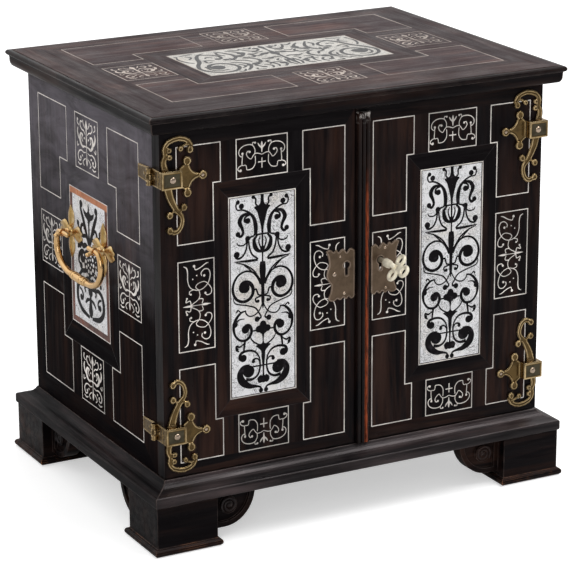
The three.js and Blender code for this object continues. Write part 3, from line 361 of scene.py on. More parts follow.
class CasketDoorSettings(bpy.types.PropertyGroup):
    """Layout of a door's inlay."""

    __annotations__ = layout_lengths(
        outer_across=0.0855,
        outer_up=0.1487,
        wide_across=0.0412,
        step_up=0.1115,
        narrow_across=0.0487,
        end_up=0.058,
        middle_up=0.0428,
        end_across=0.0262,
        frame_across=0.0342,
        frame_up=0.0957,
    )


class CasketSideSettings(bpy.types.PropertyGroup):
    """Layout of a side's inlay."""

    __annotations__ = layout_lengths(
        outer_across=0.1138,
        outer_up=0.1425,
        wide_across=0.0460,
        step_up=0.0887,
        narrow_across=0.0640,
        end_up=0.0478,
        middle_up=0.0265,
        end_across=0.0263,
        frame_across=0.0436,
        frame_up=0.0674,
    )


class CasketTopSettings(bpy.types.PropertyGroup):
    """Layout of the top's inlay."""

    __annotations__ = layout_lengths(
        outer_across=0.1740,
        outer_up=0.1240,
        wide_across=0.0470,
        step_up=0.0710,
        narrow_across=0.1215,
        end_up=0.0465,
        middle_up=0.0290,
        end_across=0.0255,
        frame_across=0.0975,
        frame_up=0.0486,
    )


class CasketFinishSettings(bpy.types.PropertyGroup):
    """Colours of the finishes."""

    ebony: colour("Ebony", "Polished black of the case", (0.0034, 0.0026, 0.0032))
    ebony_streak: colour("Ebony streak", "Brown of the grain where the black is thin", (0.034, 0.015, 0.010))
    # The next two heights bound the painted sheen: a grey-purple reflection painted into the colour of the
    # sides' upper part.
    painted_sheen_start: length("Painted sheen start", "Height at which the sides begin to grey", 0.21)
    painted_sheen_end: length("Painted sheen end", "Height at which the sides are fully greyed", 0.36)
    polish_start: length("Polish start", "Height below which the sides' polish is gone", 0.20)
    polish_end: length("Polish end", "Height above which the sides' polish is whole", 0.33)
    polish_ragged: length("Ragged polish", "How far the edge of the polish wanders", 0.035)
    scuff_start: length("Scuff start", "Height at which the feet are most scuffed", 0.003)
    scuff_end: length("Scuff end", "Height above which the feet are whole", 0.012)
    # Colour of the painted sheen: a grey-purple reflection painted into the sides' upper part.
    painted_sheen: colour("Painted sheen", "Greyed polish on the upper part of the sides", (0.118, 0.104, 0.124))
    # Brown grain streaks of the mouldings, lightened so that they also paint in the brown sheen of their
    # polish.
    moulding_streak_and_sheen: colour("Moulding streak and sheen", "Brown of the mouldings", (0.058, 0.038, 0.038))
    # The top's ground and streaks are tinted pink as a painted sheen, standing in for the pink reflection of
    # its polish.
    top_ground: colour("Top ground", "Brown-black of the sun-faded top", (0.030, 0.014, 0.016))
    top_streak: colour("Top streak", "Brown streaks of the top", (0.110, 0.054, 0.046))
    top_stain: colour("Top stain", "Pinkish stains of the top", (0.16, 0.082, 0.066))
    worn_edge: colour("Worn edge", "Rubbed corners of the mouldings", (0.21, 0.16, 0.145))
    scuffed_edge: colour("Scuffed edge", "Bare wood at the bottom of the feet", (0.48, 0.20, 0.09))
    worn_reed: colour("Worn reed", "Bare red wood of the rubbed reed", (0.42, 0.088, 0.030))
    # Painted highlight along the joints of the veneer.
    seam: colour("Seam", "Light on the joints of the veneer", (0.035, 0.028, 0.030))
    ivory: colour("Ivory", "Engraved plates", (0.84, 0.835, 0.85))
    aged_ivory: colour("Aged ivory", "Sun-yellowed plate of the top", (0.60, 0.57, 0.52))
    ivory_stain: colour("Ivory stain", "Warm stain of the plates", (0.66, 0.56, 0.44))
    string: colour("String", "Thin inlaid lines", (0.97, 0.90, 0.84))
    aged_string: colour("Aged string", "Sun-yellowed lines of the top", (0.60, 0.50, 0.43))
    ink: colour("Ink", "Black of the engraved scrolls", (0.006, 0.005, 0.006))
    band: colour("Band", "Red-brown band round the side plates", (0.17, 0.045, 0.022))
    # Paler colour of the band's upper stretch.
    band_pale: colour("Pale band", "Faded upper stretch of that band", (0.54, 0.19, 0.072))
    aged_brass: colour("Aged brass", "Body of the hinges", (0.23, 0.145, 0.052))
    # Rubbed ridges and edges of the hinges, partly a painted highlight.
    rubbed_brass_highlight: colour("Rubbed brass highlight", "Raised edges of the hinges", (0.80, 0.60, 0.33))
    # Dark patina in random patches, and in recesses both patina and painted shade.
    dull_brass_and_shade: colour("Dull brass and shade", "Hollows and dark patches of the hinges", (0.072, 0.049, 0.025))
    # Dark reflection painted into the sunk middle of a strap's head.
    strap_dark_reflection: colour("Strap dark reflection", "Sunk middle of a strap's head", (0.10, 0.085, 0.055))
    plate_brass: colour("Plate brass", "Lock plates", (0.22, 0.155, 0.105))
    # Rims of the lock plates, painted light as rubbed wear and as a highlight.
    plate_rim_highlight: colour("Plate rim", "Rubbed rims of the lock plates", (0.56, 0.44, 0.36))
    leaf_brass: colour("Leaf brass", "Leaves of the rosettes", (0.56, 0.35, 0.11))
    bright_brass: colour("Bright brass", "Bails", (0.86, 0.54, 0.24))
    # Rims of the bails and leaves, painted light as rubbed wear and as a highlight.
    bright_rim_highlight: colour("Bright rim highlight", "Rubbed rims of the bails and leaves", (1.0, 0.80, 0.50))
    key_brass: colour("Key brass", "Polished key and knobs", (1.0, 0.92, 0.73))
    iron: colour("Iron", "Lock", (0.20, 0.18, 0.17))
    rust: colour("Rust", "Rust spots of the lock", (0.14, 0.065, 0.03))
    polish_tint: colour("Polish tint", "Warmth of the light on the polish", (1.0, 0.91, 0.92))
    walnut: colour("Walnut", "Drawers and lining", (0.14, 0.066, 0.030))


class CasketBrassSettings(bpy.types.PropertyGroup):
    """Sizes of the cast and turned brasses."""

    cast_voxel: length("Cast grain", "Fineness of the cast surfaces", 0.00045)
    soften_passes: whole("Soften passes", "Rounds of softening of the cast edges", 6)
    swell_reach: length("Swell reach", "How far the relief of a cast arm runs in from its rim", 0.0026)
    swell_depth: length("Swell depth", "How much lower a cast arm is at its rim", 0.0010)
    swell_groove: length("Swell groove", "Depth of the groove along a cast arm", 0.0006)
    plate_reach: length("Plate rim", "Width of the rim of thin plates", 0.0022)
    plate_depth: length("Plate rim depth", "Drop of the rounded rim of thin plates", 0.0005)
    plate_groove: length("Plate sinking", "Drop of thin plates inside their rim", 0.0003)
    plate_thickness: length("Plate thickness", "Thickness of the lock plates", 0.0014)
    keyhole_radius: length("Keyhole radius", "Radius of a keyhole's head", 0.0032)
    keyhole_slot: length("Keyhole slot", "Width of a keyhole's slot", 0.0026)
    keyhole_drop: length("Keyhole drop", "Length of a keyhole below the middle of its head", 0.0098)
    dummy_keyhole: length("Left keyhole", "Left plate's keyhole, from the middle of the case", 0.0118)
    head_width: length("Strap head width", "Width of the raised head of a strap", 0.0185)
    head_height: length("Strap head height", "Height of the raised head of a strap", 0.0160)
    head_rise: length("Strap head rise", "How far that head stands out of the door", 0.0081)
    strap_thickness: length("Strap thickness", "Thickness of the flat brass", 0.0016)
    rim_width: length("Rim width", "Width of the raised rim round a strap's head", 0.0024)
    rim_rise: length("Rim rise", "Height of that rim", 0.0006)
    head_nail_radius: length("Head nail radius", "Radius of the nail in a strap's head", 0.0032)
    tip_nail_radius: length("Tip nail radius", "Radius of the nail in the tip of the flower", 0.0022)
    tip_radius: length("Tip radius", "Radius of the flower's tip", 0.0043)
    bail_radius: length("Bail radius", "Radius of the bail's ends", 0.0025)
    arm_radius: length("Bail arm radius", "Radius of the bail's arms", 0.0031)
    bail_spacing: length("Bail spacing", "Distance between the points along a bail", 0.0005)
    grip_radius: length("Grip radius", "Largest radius of the grip", 0.0044)
    grip_half: length("Grip half", "Half length of the turned grip", 0.0200)
    leaf_rise: length("Leaf rise", "Height of a rosette leaf at its rib", 0.0028)
    long_half_width: length("Long leaf half width", "Half width of the upper and lower leaves", 0.0066)
    fan_half_width: length("Fan leaf half width", "Half width of the side leaves", 0.0082)
    boss_radius: length("Boss radius", "Radius of the rosette's boss", 0.0052)
    boss_rise: length("Boss rise", "Height of the rosette's boss", 0.0046)
    pin_droop: angle("Pin droop", "Slope of the pins", 15)
    post_radius: length("Post radius", "Radius of the post that holds the bail", 0.0023)
    stub_radius: length("Stub radius", "Radius of the post's outer end", 0.0021)
    eye_radius: length("Eye radius", "Radius of the eye in which the bail turns", 0.0034)
    eye_wire: length("Eye wire", "Thickness of the eye's wall", 0.0013)
    eye_width: length("Eye width", "Length of the eye along the bail", 0.0022)
    curl_reach: length("Curl reach", "Place of a foot bracket's curl, out from the block", 0.0170)
    curl_drop: length("Curl drop", "Place of a foot bracket's curl, down from the top", 0.0140)
    curl_radius: length("Curl radius", "Outer radius of the curl", 0.0082)
    curl_ridge: length("Curl ridge", "Thickness of the curl's ridge", 0.0013)
    bracket_reach: length("Bracket reach", "Length of a foot bracket", 0.0440)
    bracket_set_back: length("Bracket set-back", "How far a bracket lies behind the foot's lip", 0.0145)


class CasketKeySettings(bpy.types.PropertyGroup):
    """Sizes of the key; reaches are measured out of the door."""

    turn: angle("Turn", "Lean of the bow from upright", 36)
    shank_radius: length("Shank radius", "Radius of the shank", 0.0026)
    collar_start: length("Collar start", "Where the collar begins", 0.0096)
    collar_end: length("Collar end", "Where the collar ends", 0.0206)
    collar_radius: length("Collar radius", "Radius of the collar", 0.0041)
    hub_reach: length("Hub reach", "Where the shank meets the bow", 0.0290)
    ring_radius: length("Ring radius", "Radius of a ring of the bow", 0.0046)
    ring_wire: length("Ring wire", "Half thickness of a ring", 0.0018)
    near_reach: length("Near rings", "Reach of the two near rings", 0.0309)
    near_rise: length("Near rise", "Distance of the near rings from the axis", 0.0077)
    far_reach: length("Far ring", "Reach of the far ring", 0.0440)
    heart_radius: length("Heart radius", "Radius of the web between the rings", 0.0048)
    heart_thickness: length("Heart thickness", "Thickness of that web", 0.0034)
    bit_reach: length("Bit reach", "Drop of the bit from the axis", 0.0062)
    bit_thickness: length("Bit thickness", "Thickness of the bit", 0.0018)
    bit_length: length("Bit length", "Length of the bit along the shank", 0.0050)
    bit_gap: length("Bit gap", "Distance of the bit from the tip", 0.0003)


class CasketStageSettings(bpy.types.PropertyGroup):
    """Camera, floor and lamps."""

    lens: FloatProperty(name="Lens", description="Focal length", default=169.0, unit="CAMERA")
    eye: position("Eye", "Where the camera stands", (-1.16747, -2.18955, 0.96278))
    sensor: FloatProperty(name="Sensor", description="Width of the sensor", default=36.0, unit="CAMERA")
    sight: length("Sight", "How far the camera sees", 60.0)
    turn: angle("Turn", "Camera's turn to the right", 27.95)
    dip: angle("Dip", "Camera's tilt down", 17.37)
    roll: angle("Roll", "Camera's roll", -0.26)
    floor_colour: colour("Floor", "Pale floor", (0.93, 0.93, 0.93))
    floor_glow: amount("Floor glow", "White of the floor as the camera sees it", 0.5)
    floor_sheen: amount("Floor sheen", "White of the floor as polish shows it", 0.05)
    floor_shade: share("Floor shade", "How much of the floor's light polish shows", 0.6)
    floor_size: length("Floor size", "Half width of the floor", 12.0)
    room_strength: amount("Room strength", "Light from the side of the camera", 0.26)
    wall_strength: amount("Wall strength", "Light from the white wall behind", 0.92)
    ceiling_strength: amount("Ceiling strength", "Light added from above", 0.30)
    key_power: amount("Key power", "Watts of the large lamp above", 31.0)
    key_place: position("Key place", "Where that lamp hangs", (1.05, -0.75, 2.5))
    key_size: length("Key size", "Side of that lamp", 1.5)
    fill_power: amount("Fill power", "Watts of the lamp beside the camera", 15.0)
    fill_place: position("Fill place", "Where that lamp stands", (-1.9, -2.6, 1.7))
    fill_size: length("Fill size", "Side of that lamp", 1.6)
    aim_height: length("Aim height", "Height at which the lamps point", 0.2)


# Flat art on a face


class Face:
    """One outer face: its middle, the directions across and up it, and the way out."""

    def __init__(self, middle, across, up, out):
        self.middle = Vector(middle)
        self.across = Vector(across)
        self.up = Vector(up)
        self.out = Vector(out)

    def point(self, across, up, lift):
        return self.middle + self.across * across + self.up * up + self.out * lift


def smooth_line(points, steps):
    """Points on a smooth curve through the given ones; widths run along with them."""
    line = []
    last = len(points) - 1
    for here in range(last):
        before, start, end, after = (points[min(max(here + k, 0), last)] for k in (-1, 0, 1, 2))
        for step in range(steps):
            t = step / steps
            line.append(tuple(
                0.5 * (2 * b + (c - a) * t + (2 * a - 5 * b + 4 * c - d) * t * t
                       + (3 * b - a - 3 * c + d) * t * t * t)
                for a, b, c, d in zip(before, start, end, after)))
    line.append(tuple(points[last]))
    return line


def stroke_rims(points, steps):
    """Left and right rims of a stroke as two rows of places."""
    line = smooth_line(points, steps)
    left = []
    right = []
    for index, (across, up, width) in enumerate(line):
        ahead = line[min(index + 1, len(line) - 1)]
        behind = line[max(index - 1, 0)]
        along = Vector((ahead[0] - behind[0], ahead[1] - behind[1]))
        along.normalize()
        half = max(width, 0) / 2
        left.append((across - along.y * half, up + along.x * half))
        right.append((across + along.y * half, up - along.x * half))
    return left, right


def add_flat(mesh, face, places, lift):
    """Adds one flat patch that faces out of the face."""
    corners = [mesh.verts.new(face.point(across, up, lift)) for across, up in places]
    patch = mesh.faces.new(corners)
    patch.normal_update()
    if patch.normal.dot(face.out) < 0:
        patch.normal_flip()


def add_stroke(mesh, face, points, lift, steps, climb=0.0):
    """Adds a stroke that climbs a little along its length, so that it never lies level with itself."""
    left, right = stroke_rims(points, steps)
    for index in range(len(left) - 1):
        places = [left[index], right[index], right[index + 1], left[index + 1]]
        add_flat(mesh, face, places, lift + climb * index)


def add_dot(mesh, face, across, up, radius, lift, sides):
    turns = [2 * math.pi * k / sides for k in range(sides)]
    add_flat(mesh, face, [(across + radius * math.cos(t), up + radius * math.sin(t)) for t in turns], lift)


def add_art(mesh, face, art, inlay, weight, middle=(0, 0), flip=(1, 1), mirror="across"):
    """Adds one table of scrolls round the given middle, with its mirrored half."""
    unit = inlay.art_span / 100
    climb = inlay.climb
    other = (-1, 1) if mirror == "across" else (1, -1)

    def placed(row, sign):
        across, up = sign[0] * flip[0] * unit, sign[1] * flip[1] * unit
        return [(middle[0] + x * across, middle[1] + y * up, w * weight * unit) for x, y, w in row]

    def both_halves(key):
        whole_rows = art[key.replace("mirrored", "single")] + art[key]
        return [(row, (1, 1)) for row in whole_rows] + [(row, other) for row in art[key]]

    for order, (stroke, sign) in enumerate(both_halves("mirrored")):
        add_stroke(mesh, face, placed(stroke, sign), inlay.lift + 3 * climb * order, inlay.steps, climb)
    for order, (dot, sign) in enumerate(both_halves("mirrored_dots")):
        add_dot(mesh, face, *placed([dot], sign)[0], inlay.lift - 3 * climb * (order + 1), inlay.dot_sides)


def add_string(mesh, face, corners, width, lift):
    """Adds a closed line of one width, inside the corners given in order round a square-cornered field."""
    count = len(corners)
    following = corners[1:] + corners[:1]
    area = sum(here[0] * after[1] - after[0] * here[1] for here, after in zip(corners, following))
    side = 1 if area > 0 else -1
    inner = []
    for k in range(count):
        here = Vector(corners[k])
        before = (here - Vector(corners[k - 1])).normalized()
        after = (Vector(following[k]) - here).normalized()
        inward = (Vector((-before.y, before.x)) + Vector((-after.y, after.x))) * side
        inner.append(tuple(here + inward * width))
    for k in range(count):
        add_flat(mesh, face, [corners[k], following[k], inner[(k + 1) % count], inner[k]], lift)


def rectangle(left, right, low, high):
    return [(left, low), (right, low), (right, high), (left, high)]


def corner_field(layout, across_sign, up_sign):
    """Corners of the stepped field in one corner of a layout."""
    places = [
        (layout.outer_across, layout.outer_up),
        (layout.wide_across, layout.outer_up),
        (layout.wide_across, layout.step_up),
        (layout.narrow_across, layout.step_up),
        (layout.narrow_across, layout.end_up),
        (layout.outer_across, layout.end_up),
    ]
    return [(across * across_sign, up * up_sign) for across, up in places]


def add_mitred(mesh, face, inner, outer, level, lift):
    """Adds two strips of a mitred frame between two rectangles: the level ones or the upright ones."""
    corners = list(zip(rectangle(*inner), rectangle(*outer)))
    for first, second in ((0, 1), (2, 3)) if level else ((1, 2), (3, 0)):
        add_flat(mesh, face, [*corners[first], *reversed(corners[second])], lift)


def new_piece(name, mesh, body, material, smooth=False):
    """Makes an object of a built mesh and lets it ride on a body."""
    data = bpy.data.meshes.new(name)
    mesh.to_mesh(data)
    mesh.free()
    piece = bpy.data.objects.new(name, data)
    bpy.context.scene.collection.objects.link(piece)
    data.materials.append(material)
    for polygon in data.polygons:
        polygon.use_smooth = smooth
    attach(piece, body)
    return piece


def veneer_frame(name, face, layout, board, body, inlay, finishes, make_strip):
    """Mitred strips of veneer round the large panel and along the edges of the board."""
    panel = (-layout.frame_across, layout.frame_across, -layout.frame_up, layout.frame_up)
    ring = (-layout.narrow_across, layout.narrow_across, -layout.step_up, layout.step_up)
    field = (-layout.outer_across, layout.outer_across, -layout.outer_up, layout.outer_up)
    for level, way in ((True, face.across), (False, face.up)):
        strips = bmesh.new()
        add_mitred(strips, face, panel, ring, level, inlay.lift / 3)
        add_mitred(strips, face, field, board, level, inlay.lift / 3)
        grain = "XYZ"[max(range(3), key=lambda axis: abs(way[axis]))]
        new_piece(f"{name}_{'level' if level else 'upright'}_strips", strips, body, make_strip(grain))
    # Painted highlights along the joints of the veneer.
    seam_highlights = bmesh.new()
    add_string(seam_highlights, face, rectangle(*ring), inlay.seam_width, inlay.lift / 2)
    for across_sign in (-1, 1):
        for up_sign in (-1, 1):
            start = (layout.frame_across * across_sign, layout.frame_up * up_sign, inlay.seam_width)
            end = (layout.narrow_across * across_sign, layout.step_up * up_sign, inlay.seam_width)
            add_stroke(seam_highlights, face, [start, end], inlay.lift / 2, 1)
    new_piece(f"{name}_seams", seam_highlights, body, seam_highlight_finish("Veneer seam highlight", finishes))


def inlay_lines(name, face, layout, body, arts, weight, inlay, field, line):
    """The strings, the small panels' scrolls and the streaked corner fields of one face."""
    middle_art, end_art = arts
    lines = bmesh.new()
    fields = bmesh.new()
    width = inlay.string_width
    for across_sign in (-1, 1):
        for up_sign in (-1, 1):
            corner = corner_field(layout, across_sign, up_sign)
            add_string(lines, face, corner, width, inlay.lift)
            add_flat(fields, face, corner, inlay.lift / 2)
        middle = (layout.narrow_across + layout.outer_across) / 2 * across_sign
        half = (layout.outer_across - layout.narrow_across) / 2
        box = rectangle(middle - half, middle + half, -layout.middle_up, layout.middle_up)
        add_string(lines, face, box, width, inlay.lift)
        flip = (-across_sign, 1)
        mirror = "up" if middle_art is DOOR_MIDDLE_SHARES else "across"
        add_art(lines, face, middle_art, inlay, weight, (middle, 0), flip, mirror)
    for up_sign in (-1, 1):
        low, high = sorted((layout.step_up * up_sign, layout.outer_up * up_sign))
        box = rectangle(-layout.end_across, layout.end_across, low, high)
        add_string(lines, face, box, width, inlay.lift)
        flip = (1, up_sign if end_art is DOOR_END_SHARES else 1)
        add_art(lines, face, end_art, inlay, weight, (0, (low + high) / 2), flip)
    large = rectangle(-layout.frame_across, layout.frame_across, -layout.frame_up, layout.frame_up)
    add_string(lines, face, large, width, inlay.lift)
    new_piece(f"{name}_strings", lines, body, line)
    new_piece(f"{name}_fields", fields, body, field)


def ink_scrolls(name, face, art, weight, body, inlay, finishes, shine=0.06):
    """The black scrolls of a large plate."""
    ink = bmesh.new()
    add_art(ink, face, art, inlay, weight)
    new_piece(f"{name}_ink", ink, body, ink_finish(f"Black mastic {shine:.2f}", finishes, shine))


def side_cells(name, face, body, inlay, finishes):
    """Pale cells cut into the dark flower in the middle of a side plate."""
    cells = bmesh.new()
    unit = inlay.art_span / 100
    for circle, count, radius in SIDE_CELL_SHARES:
        for k in range(count):
            turn = 2 * math.pi * k / count
            across, up = circle * unit * math.cos(turn), circle * unit * math.sin(turn)
            add_dot(cells, face, across, up, radius * unit, 2 * inlay.lift, inlay.dot_sides)
    new_piece(f"{name}_cells", cells, body, engraved_ivory(finishes))


def board_reach(face, node, keep):
    """How far a board's edges lie from the middle of the face: left, right, low, high."""
    corners = [corner - face.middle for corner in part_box(node)]
    across = sorted(corner.dot(face.across) for corner in corners)
    up = sorted(corner.dot(face.up) for corner in corners)
    return across[0] + keep, across[1] - keep, up[0] + keep, up[1] - keep


def middle_of(node):
    low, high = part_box(node)
    return (low + high) / 2


def door_face(side):
    middle = middle_of(f"{side}_door_panel")
    middle.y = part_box(f"{side}_door")[0].y
    return Face(middle, (1, 0, 0), (0, 0, 1), (0, -1, 0))


def side_face(side):
    middle = middle_of(f"{side}_side_panel")
    low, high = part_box(f"{side}_side_board")
    middle.x = low.x if side == "left" else high.x
    sign = 1 if side == "left" else -1
    return Face(middle, (0, -sign, 0), (0, 0, 1), (-sign, 0, 0))


def top_face():
    middle = middle_of("top_panel")
    middle.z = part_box("top_board")[1].z
    return Face(middle, (1, 0, 0), (0, 1, 0), (0, 0, 1))


# Materials

# Depth of each finish's relief, and the radius of rounded wood edges.
TOP_RELIEF = 0.0009
BOARD_RELIEF = 0.0008
LINING_RELIEF = 0.0006
VENEER_RELIEF = 0.0005
DRAWER_RELIEF = 0.0004
BRASS_RELIEF = 0.0004
BAND_RELIEF = 0.0003
FINE_RELIEF = 0.0002
HAIR_RELIEF = 0.0001
EDGE_ROUND = 0.0011
LINING_ROUND = 0.0008

# How finely a grain's pattern runs each way, by the way of the grain.
GRAIN_SCALES = {"X": (5.0, 70.0, 70.0), "Y": (70.0, 5.0, 70.0), "Z": (70.0, 70.0, 5.0)}


def add_node(tree, kind, inputs=None, **settings):
    made = tree.nodes.new(kind)
    for key, value in settings.items():
        setattr(made, key, value)
    for key, value in (inputs or {}).items():
        if isinstance(value, bpy.types.NodeSocket):
            tree.links.new(value, made.inputs[key])
        else:
            made.inputs[key].default_value = value
    return made


def once(fill):
    """Turns a function that fills a finish's nodes into one that makes the named finish, or finds it again."""

    def find(name, *values, **more):
        finish = bpy.data.materials.get(name)
        if finish is None:
            finish = bpy.data.materials.new(name)
            finish.use_nodes = True
            fill(finish.node_tree, finish.node_tree.nodes["Principled BSDF"], *values, **more)
        return finish

    return find


def grain_place(tree, scales=(1.0, 1.0, 1.0)):
    """Object coordinates, stretched along the grain where scales are given."""
    inputs = {"Vector": add_node(tree, "ShaderNodeTexCoord").outputs["Object"], "Scale": scales}
    return add_node(tree, "ShaderNodeMapping", inputs).outputs["Vector"]


def axes_of(tree, kind="Object"):
    """A place or a direction as its shares along X, Y and Z."""
    inputs = {0: add_node(tree, "ShaderNodeTexCoord").outputs[kind]}
    return add_node(tree, "ShaderNodeSeparateXYZ", inputs).outputs


def noise(tree, vector, scale, detail=4.0, roughness=0.55, distortion=0.0):
    inputs = {"Vector": vector, "Scale": scale, "Detail": detail, "Roughness": roughness,
              "Distortion": distortion}
    return add_node(tree, "ShaderNodeTexNoise", inputs).outputs["Fac"]


def remap(tree, value, low, high, to_low=0.0, to_high=1.0):
    inputs = {"Value": value, "From Min": low, "From Max": high, "To Min": to_low, "To Max": to_high}
    return add_node(tree, "ShaderNodeMapRange", inputs).outputs["Result"]


def maths(tree, operation, first, second=0.0):
    return add_node(tree, "ShaderNodeMath", {0: first, 1: second}, operation=operation).outputs[0]


def times(tree, first, second):
    return maths(tree, "MULTIPLY", first, second)


def toned(tone, by):
    """A colour made darker or lighter by a share."""
    return tuple(by * part for part in tone)


def mixed(tree, factor, first, second):
    def whole_tone(tone):
        return tone if isinstance(tone, bpy.types.NodeSocket) else (*tone, 1.0)

    inputs = {0: factor, 6: whole_tone(first), 7: whole_tone(second)}
    return add_node(tree, "ShaderNodeMix", inputs, data_type="RGBA").outputs[2]


def rounded_edges(tree, radius):
    """Normal that runs round sharp edges, and a mask of those edges."""
    bevel = add_node(tree, "ShaderNodeBevel", {"Radius": radius}, samples=6).outputs["Normal"]
    inputs = {0: bevel, 1: add_node(tree, "ShaderNodeNewGeometry").outputs["Normal"]}
    dot = add_node(tree, "ShaderNodeVectorMath", inputs, operation="DOT_PRODUCT")
    return bevel, remap(tree, dot.outputs["Value"], 0.995, 0.90)


def add_bump(tree, shader, height, strength, distance, normal=None):
    inputs = {"Height": height, "Strength": strength, "Distance": distance}
    if normal is not None:
        inputs["Normal"] = normal
    tree.links.new(add_node(tree, "ShaderNodeBump", inputs).outputs["Normal"], shader.inputs["Normal"])


def paint(tree, shader, tone, roughness=None):
    tree.links.new(tone, shader.inputs["Base Color"])
    if roughness is not None:
        tree.links.new(roughness, shader.inputs["Roughness"])


def wood_tone(tree, finishes, grain, streaked=1.0, painted_sheen=0.0, brown=None, ground=None):
    """Black wood with brown streaks along its grain; with painted sheen, a grey-purple reflection is painted
    into the colour towards the top.
    """
    along = grain_place(tree, GRAIN_SCALES[grain])
    plain = grain_place(tree)
    streaks = remap(tree, noise(tree, along, 1.0, 8.0, 0.64, 0.5), 0.44, 0.66)
    patches = remap(tree, noise(tree, plain, 11.0, 3.0), 0.36, 0.62)
    shown = times(tree, times(tree, streaks, patches), streaked)
    tone = mixed(tree, shown, ground or finishes.ebony, brown or finishes.ebony_streak)
    # Painted sheen: a grey-purple reflection painted into the colour, growing with height, in patches.
    if painted_sheen > 0:
        rise = remap(tree, axes_of(tree)["Z"], finishes.painted_sheen_start, finishes.painted_sheen_end, 0.0, painted_sheen)
        sheen_noise = noise(tree, grain_place(tree, (9.0, 14.0, 30.0)), 1.0, 7.0, 0.62, 1.6)
        sheen_patches = remap(tree, sheen_noise, 0.34, 0.64, 0.30, 1.0)
        tone = mixed(tree, times(tree, rise, sheen_patches), tone, finishes.painted_sheen)
    return tone, along, plain


def add_polish(tree, shader, finishes, along, plain, gloss, rough, fading=False):
    """Polish that runs in streaks along the grain; where it fades it is worn off towards the floor."""
    streaks = remap(tree, noise(tree, along, 2.0, 6.0, 0.62, 0.3), 0.32, 0.68, 0.45 * gloss, 1.55 * gloss)
    if fading:
        reach = finishes.polish_ragged
        wander = remap(tree, noise(tree, plain, 14.0, 5.0, 0.6), 0.3, 0.7, -reach, reach)
        ragged = maths(tree, "ADD", axes_of(tree)["Z"], wander)
        left = remap(tree, ragged, finishes.polish_start, finishes.polish_end, 0.05, 1.0)
        streaks = times(tree, streaks, left)
    tree.links.new(streaks, shader.inputs["Specular IOR Level"])
    smears = maths(tree, "ADD", noise(tree, plain, 30.0, 6.0, 0.6), noise(tree, along, 3.0, 5.0, 0.6))
    tree.links.new(remap(tree, smears, 0.7, 1.3, 0.75 * rough, 1.3 * rough), shader.inputs["Roughness"])
    shader.inputs["Specular Tint"].default_value = (*finishes.polish_tint, 1.0)


def rub_edges(tree, finishes, tone, edges, plain, least, most):
    """Pale wood in spots along the edges that hands rub."""
    spots = remap(tree, noise(tree, plain, 46.0, 6.0, 0.75), 0.40, 0.62, least, most)
    return mixed(tree, times(tree, edges, spots), tone, finishes.worn_edge)


@once
def ebony_finish(tree, shader, finishes, grain, streaked=1.0, painted_sheen=0.0, gloss=0.085, brown=None, scuffed=0.0,
                 rubbed=0.5):
    """Black polished wood with faint brown streaks, and pale or bare wood where edges are rubbed."""
    tone, along, plain = wood_tone(tree, finishes, grain, streaked, painted_sheen, brown)
    normal, edges = rounded_edges(tree, EDGE_ROUND)
    tone = rub_edges(tree, finishes, tone, edges, plain, 0.16 * rubbed, rubbed)
    if scuffed > 0:
        low = remap(tree, axes_of(tree)["Z"], finishes.scuff_end, finishes.scuff_start, 0.0, scuffed)
        flaked = remap(tree, noise(tree, plain, 60.0, 4.0, 0.7), 0.44, 0.58)
        tone = mixed(tree, times(tree, times(tree, edges, low), flaked), tone, finishes.scuffed_edge)
    paint(tree, shader, tone)
    add_polish(tree, shader, finishes, along, plain, gloss, 0.32, painted_sheen > 0)
    pores = times(tree, noise(tree, along, 5.0, 4.0, 0.7), 0.6)
    waves = noise(tree, plain, 22.0, 2.0)
    add_bump(tree, shader, maths(tree, "ADD", pores, waves), 0.3, BOARD_RELIEF, normal)


@once
def top_finish(tree, shader, finishes, grain, depth):
    """Sun-faded brown veneer of the top with stains and dark scuffs, tinted pink as a painted sheen; depth is
    the strength of its browns.
    """
    ground = toned(finishes.top_ground, depth)
    streak = toned(finishes.top_streak, depth)
    tone, along, plain = wood_tone(tree, finishes, grain, 1.0, 0.0, streak, ground)
    stains = remap(tree, noise(tree, plain, 9.0, 5.0, 0.62, 0.6), 0.64, 0.74, 0.0, 0.7)
    tone = mixed(tree, stains, tone, finishes.top_stain)
    marks = noise(tree, grain_place(tree, (14.0, 60.0, 20.0)), 1.0, 6.0, 0.72, 1.4)
    tone = mixed(tree, remap(tree, marks, 0.30, 0.37, 0.7, 0.0), tone, finishes.ebony)
    normal, edges = rounded_edges(tree, EDGE_ROUND)
    paint(tree, shader, rub_edges(tree, finishes, tone, edges, plain, 0.1, 0.6))
    add_polish(tree, shader, finishes, along, plain, 0.06, 0.40)
    height = maths(tree, "ADD", noise(tree, along, 5.0, 5.0, 0.72), noise(tree, plain, 18.0, 2.0))
    add_bump(tree, shader, height, 0.35, TOP_RELIEF, normal)


@once
def field_finish(tree, shader, finishes, painted_sheen=0.0):
    """Corner fields: veneer with stronger brown streaks; with painted sheen the streaks are fainter and a
    grey-purple reflection is painted in towards the top.
    """
    strength = 0.4 if painted_sheen > 0 else 1.0
    black, along, plain = wood_tone(tree, finishes, "Z", strength, painted_sheen)
    streaks = remap(tree, noise(tree, along, 1.6, 8.0, 0.7, 0.8), 0.40, 0.66)
    patches = remap(tree, noise(tree, plain, 8.0, 3.0), 0.34, 0.60)
    shown = times(tree, times(tree, streaks, patches), strength)
    paint(tree, shader, mixed(tree, shown, black, finishes.ebony_streak))
    add_polish(tree, shader, finishes, along, plain, 0.085, 0.34, painted_sheen > 0)
    add_bump(tree, shader, noise(tree, along, 4.0, 5.0, 0.7), 0.25, VENEER_RELIEF)


